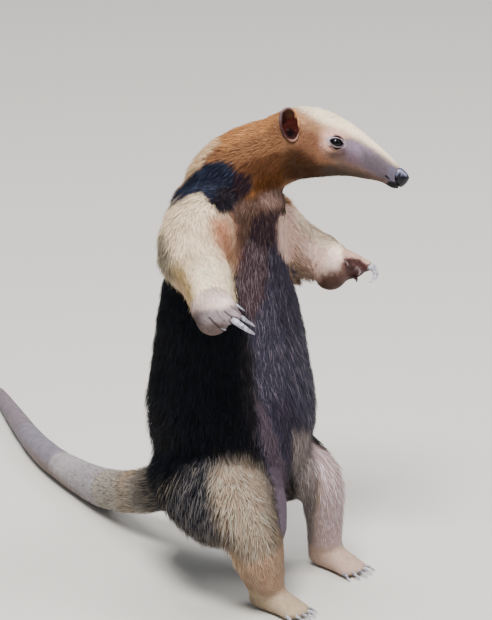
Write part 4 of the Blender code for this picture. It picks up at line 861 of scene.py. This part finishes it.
nostril = np.array([(6.2, 1.0, 4.0), (7.6, -0.6, 3.4), (8.2, -1.2, 1.0), (7.0, -3.6, -0.4), (4.6, -6.4, 0.2)])
pit = distance_to_line(turned, nostril)
lobe = np.exp(-((np.linalg.norm(turned - (5.6, -4.2, 5.2), axis=1) / 3.4) ** 2))
ridge = np.exp(-((distance_to_line(turned, np.array([(5.0, -3.6, 7.4), (5.6, 1.0, 5.2), (4.4, 4.6, 2.6)])) / 1.5) ** 2))
middle_line = np.exp(-((spots[:, 0] / 0.5) ** 2)) * eased((spots[:, 1] - 3) / 3) * eased((2 - spots[:, 2]) / 3)
sink = 2.2 * np.exp(-((pit / 1.0) ** 2)) - 0.5 * np.exp(-((pit / 2.4) ** 2)) + 0.45 * middle_line
sink = sink - 0.5 * lobe - 0.3 * ridge
nose_spots = nose_middle + (spots - unit(shape) * sink[:, None]) @ HEAD_AXES.T
nose.data.vertices.foreach_set("co", (ORIGIN + nose_spots * MM).ravel())
nose.data.update()
colour = np.outer(np.ones(len(spots)), linear((8, 9, 18)))
for cover, tone in (
    # painted reflection: the top of the pad paler and bluer
    (eased((spots[:, 2] - 0.5) / 5), (66, 68, 94)),
    (0.8 * lobe, (118, 122, 144)),
    # painted highlight along the ridge above each nostril
    (0.7 * ridge, (168, 168, 196)),
    # painted shade in the nostrils
    (np.exp(-((pit / 1.2) ** 2)), (5, 5, 14)),
):
    colour = colour * (1 - cover[:, None]) + np.outer(cover, linear(tone))
coloured(nose, colour)
nose.data.materials.append(
    surface("moist nose", 0.35, 1500, 0.00025, 0.3, Specular_IOR_Level=0.2, Coat_Weight=0.16, Coat_Roughness=0.2)
)
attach(nose, "root")
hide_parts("nose")

# The claws: pale horn, streaked along its length, that grows from the fingers and toes. The third claw of each hand is
# the heavy one that opens ant nests. The first, second and fourth claws of the left hand get a darker brown copy of the
# horn as painted shade.
horn = bpy.data.materials.new("horn")
horn.use_nodes = True
shader = horn.node_tree.nodes["Principled BSDF"]
shader.inputs["Roughness"].default_value = 0.38
streaks = horn.node_tree.nodes.new("ShaderNodeTexNoise")
streaks.inputs["Scale"].default_value = 260
streaks.inputs["Detail"].default_value = 5
where = horn.node_tree.nodes.new("ShaderNodeTexCoord")
horn.node_tree.links.new(where.outputs["Object"], streaks.inputs["Vector"])
shades = horn.node_tree.nodes.new("ShaderNodeValToRGB")
shades.color_ramp.elements[0].position = 0.35
shades.color_ramp.elements[0].color = (*linear((92, 92, 104)), 1)
shades.color_ramp.elements[1].position = 0.65
shades.color_ramp.elements[1].color = (*linear((188, 188, 202)), 1)
horn.node_tree.links.new(streaks.outputs["Fac"], shades.inputs["Fac"])
horn.node_tree.links.new(shades.outputs["Color"], shader.inputs["Base Color"])
# a darker brown copy of the horn, as painted shade, for the left hand's claws other than the heavy third one
shaded_horn = horn.copy()
shaded_horn.name = "shaded horn"
shaded_ramp = next(node for node in shaded_horn.node_tree.nodes if node.type == "VALTORGB")
shaded_ramp.color_ramp.elements[0].color = (*linear((52, 36, 36)), 1)
shaded_ramp.color_ramp.elements[1].color = (*linear((96, 74, 72)), 1)
SHADED_CLAWS = ("claw_1_left", "claw_2_left", "claw_4_left")
for side in ("right", "left"):
    for node in [f"claw_{k}_{side}" for k in range(1, 5)] + [f"toe_claw_{k}_{side}" for k in range(1, 6)]:
        claw = smoothed_copy(f"horn_{node}", node, 2)
        claw.data.materials.append(shaded_horn if node in SHADED_CLAWS else horn)
        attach(claw, "root")
        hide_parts(node)

# The coat: short, dense, coarse hair in thin pointed locks that overlap like thatch.
# Each lock is a three-sided tapering sliver rooted under the skin, bent down along the lie of the coat.
# It is lit partly as the body under it is, so that the coat reads as soft as real fur.
LOCK_SINK = 0.4
PATCH = 0.003
SHORT_LOCK = ((0.0, 1.0), (0.5, 0.85))  # where along it its rings are and how wide, before the point
LONG_LOCK = ((0.0, 1.0), (0.36, 0.92), (0.72, 0.58))
OWN_LIGHT = 0.4
# painted shade and light: each lock is darker at its root and paler at its tip, through the depth of the coat
ROOT_PAINTED_SHADE, TIP_PAINTED_LIGHT = 0.74, 1.12
corner_uv = np.empty(len(hide_faces) * 6)
hide.data.uv_layers["OFBake"].data.foreach_get("uv", corner_uv)
corner_uv = corner_uv.reshape(-1, 3, 2)
corners = hide_points[hide_faces]
face_area = np.linalg.norm(np.cross(corners[:, 1] - corners[:, 0], corners[:, 2] - corners[:, 0]), axis=1) / 2
face_middle = corners.mean(1)
face_lie = lie[hide_faces].mean(1)
face_bare = bare[hide_faces].mean(1)
in_head_of = in_head(face_middle)
COAT = {
    "coat_head": (lambda p, h: h[:, 1] > -52, 19000, SHORT_LOCK),
    "coat_neck": (lambda p, h: p[:, 2] > 405, 19500, SHORT_LOCK),
    "coat_arm_right": (lambda p, h: (p[:, 0] < -64) & (p[:, 2] > 300), 19500, SHORT_LOCK),
    "coat_arm_left": (lambda p, h: (p[:, 0] > 66) & (p[:, 2] > 270), 12000, SHORT_LOCK),
    "coat_chest": (lambda p, h: (p[:, 1] < 10) & (p[:, 2] > 215), 18500, SHORT_LOCK),
    "coat_back": (lambda p, h: p[:, 2] > 215, 12000, SHORT_LOCK),
    "coat_leg_right": (lambda p, h: (p[:, 0] < 4) & (p[:, 1] < 10), 12300, LONG_LOCK),
    "coat_leg_left": (lambda p, h: (p[:, 0] >= 4) & (p[:, 1] < 10), 13000, SHORT_LOCK),
    "coat_rump": (lambda p, h: p[:, 1] < 150, 8500, SHORT_LOCK),
    "coat_tail": (lambda p, h: p[:, 1] >= 150, 9500, SHORT_LOCK),
}


def locks(name, faces, count, rings, seed):
    """One piece of the coat: locks rooted all over those faces of the hide, more of them where they are fine."""
    rng = np.random.default_rng(seed)
    wanted = face_area[faces] / np.sqrt(face_lie[faces, 4] * face_lie[faces, 6]) * (1 - face_bare[faces])
    steps = np.cumsum(wanted)
    picks = (np.arange(count) + rng.random(count)) / count * steps[-1]
    chosen = faces[np.minimum(np.searchsorted(steps, picks), len(faces) - 1)]
    share = rng.dirichlet((1, 1, 1), count)
    verts = hide_faces[chosen]

    def spread(values):
        return (values[verts] * share[..., None]).sum(1)

    root, normal, grain, tone = spread(hide_points), unit(spread(hide_normals)), spread(lie), spread(tones)
    way = unit(grain[:, :3]) + 0.16 * np.stack([wander(root, 17, seed + k) for k in (1, 2, 3)], 1)
    way = way + rng.normal(scale=0.10, size=way.shape)
    way = unit(way - normal * (way * normal).sum(1, keepdims=True))
    side = np.cross(normal, way)
    length = grain[:, 4] * rng.uniform(0.7, 1.2, count) * (1 + 0.10 * wander(root, 16, seed + 9))
    lift = np.radians(grain[:, 5]) * rng.uniform(0.6, 1.4, count)
    half = grain[:, 6] * rng.uniform(0.75, 1.25, count)
    bend = rng.normal(scale=0.08, size=count)
    rows, facing, shades, stops = [], [], [], []
    spine = root - normal * LOCK_SINK
    reach = 0.0
    for stop, wide in (*rings, (1.0, 0.0)):
        step = (stop - reach) * length
        angle = lift * (1.35 - 1.1 * stop)
        spine = spine + (way * np.cos(angle)[:, None] + normal * np.sin(angle)[:, None]) * step[:, None]
        reach = stop
        middle = spine + side * (bend * length * stop**2)[:, None]
        wing, ridge = side * (half * wide)[:, None], normal * (0.55 * half * wide)[:, None]
        corners_here = [(middle - wing, -side), (middle + wing, side), (middle + ridge, normal)]
        for spot, own in corners_here if wide else [(middle, way)]:
            rows.append(spot)
            facing.append(unit(normal * (1 - OWN_LIGHT) + own * OWN_LIGHT))
            # painted shade at the root, painted light at the tip
            shades.append(ROOT_PAINTED_SHADE + (TIP_PAINTED_LIGHT - ROOT_PAINTED_SHADE) * stop)
            stops.append(stop)
    points = np.stack(rows, 1)
    points[:, :, 2] = np.maximum(points[:, :, 2], 0)
    per_lock = points.shape[1]
    last = per_lock - 1
    shape = [(0, 2, 1)]
    for low in range(0, last - 3, 3):
        for a, b in ((0, 1), (1, 2), (2, 0)):
            shape += [(low + a, low + b, low + 3 + b), (low + a, low + 3 + b, low + 3 + a)]
    shape += [(last - 3, last - 2, last), (last - 2, last - 1, last), (last - 1, last - 3, last)]
    triangles = (np.array(shape)[None] + np.arange(count)[:, None, None] * per_lock).reshape(-1, 3)
    mesh = bpy.data.meshes.new(name)
    mesh.vertices.add(count * per_lock)
    mesh.vertices.foreach_set("co", (ORIGIN + points.reshape(-1, 3) * MM).ravel())
    mesh.loops.add(triangles.size)
    mesh.loops.foreach_set("vertex_index", triangles.ravel())
    mesh.polygons.add(len(triangles))
    mesh.polygons.foreach_set("loop_start", np.arange(0, triangles.size, 3))
    mesh.update(calc_edges=True)
    mesh.validate()
    mesh.shade_smooth()
    mesh.normals_split_custom_set_from_vertices(np.stack(facing, 1).reshape(-1, 3).tolist())
    made = bpy.data.objects.new(name, mesh)
    bpy.context.scene.collection.objects.link(made)
    odd = rng.random(count) < tone[:, 6]
    colour = np.where(odd[:, None], tone[:, 3:6], tone[:, :3]) * rng.uniform(0.88, 1.12, count)[:, None]
    coloured(made, (colour[:, None, :] * np.array(shades)[None, :, None]).reshape(-1, 3))
    uv_root = (corner_uv[chosen] * share[..., None]).sum(1)
    across = [(k % 3 - 1) / 2 if k < last else 0 for k in range(per_lock)]
    cell = np.stack([across, np.array(stops) - 0.5], 1) * PATCH
    uv = (uv_root[:, None, :] + cell[None]).reshape(-1, 2)[triangles.ravel()]
    mesh.uv_layers.new(name="OFBake").data.foreach_set("uv", uv.ravel())
    return made


hair = surface("hair", 0.6, 400, 0.0001, 0.12, Specular_IOR_Level=0.08)
left_over = np.ones(len(hide_faces), bool)
density = 1.0
for seed, (name, (belongs, count, rings)) in enumerate(COAT.items()):
    mine = left_over & belongs(face_middle, in_head_of)
    left_over &= ~mine
    piece = locks(name, np.flatnonzero(mine), int(count * density), rings, 100 * (seed + 1))
    piece.data.materials.append(hair)
    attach(piece, "root")

# The stage: a plain pale floor, soft lights and a camera that looks from where the photograph was taken,
# a little above the animal and to its right.
floor_mesh = bpy.data.meshes.new("floor")
floor_mesh.from_pydata([(-6, -6, 0), (6, -6, 0), (6, 6, 0), (-6, 6, 0)], [], [(0, 1, 2, 3)])
floor = bpy.data.objects.new("floor", floor_mesh)
bpy.context.scene.collection.objects.link(floor)
plain = bpy.data.materials.new("plain floor")
plain.use_nodes = True
plain.node_tree.nodes["Principled BSDF"].inputs["Base Color"].default_value = (0.62, 0.61, 0.58, 1)
plain.node_tree.nodes["Principled BSDF"].inputs["Roughness"].default_value = 0.9
floor_mesh.materials.append(plain)

world = bpy.data.worlds.new("studio")
world.use_nodes = True
world.node_tree.nodes["Background"].inputs["Color"].default_value = (0.93, 0.96, 1.0, 1)
world.node_tree.nodes["Background"].inputs["Strength"].default_value = 0.36
bpy.context.scene.world = world
middle = Vector(ORIGIN + AIM * MM)
for name, place, size, power, colour in (
    ("key", (-1.6, -1.4, 3.4), 1.2, 300, (1.0, 0.965, 0.92)),
    ("fill", (2.0, -1.9, 2.6), 1.8, 72, (1.0, 0.98, 0.97)),
    ("top", (0.3, 0.6, 2.9), 1.6, 60, (1.0, 0.98, 0.95)),
):
    lamp = bpy.data.lights.new(name, "AREA")
    lamp.size = size
    lamp.energy = power
    lamp.color = colour
    light = bpy.data.objects.new(name, lamp)
    light.location = middle + Vector(place)
    light.rotation_mode = "QUATERNION"
    light.rotation_quaternion = (-Vector(place)).to_track_quat("-Z", "Y")
    bpy.context.scene.collection.objects.link(light)

HALF_HEIGHT = 310.0
lens = bpy.data.cameras.new("camera")
lens.sensor_width = 36
lens.lens = lens.sensor_width / 2 * DISTANCE / HALF_HEIGHT
camera = bpy.data.objects.new("camera", lens)
camera.location = Vector(ORIGIN + (AIM + TOWARDS * DISTANCE) * MM)
camera.rotation_mode = "QUATERNION"
camera.rotation_quaternion = Vector(-TOWARDS).to_track_quat("-Z", "Y")
bpy.context.scene.collection.objects.link(camera)
bpy.context.scene.camera = camera
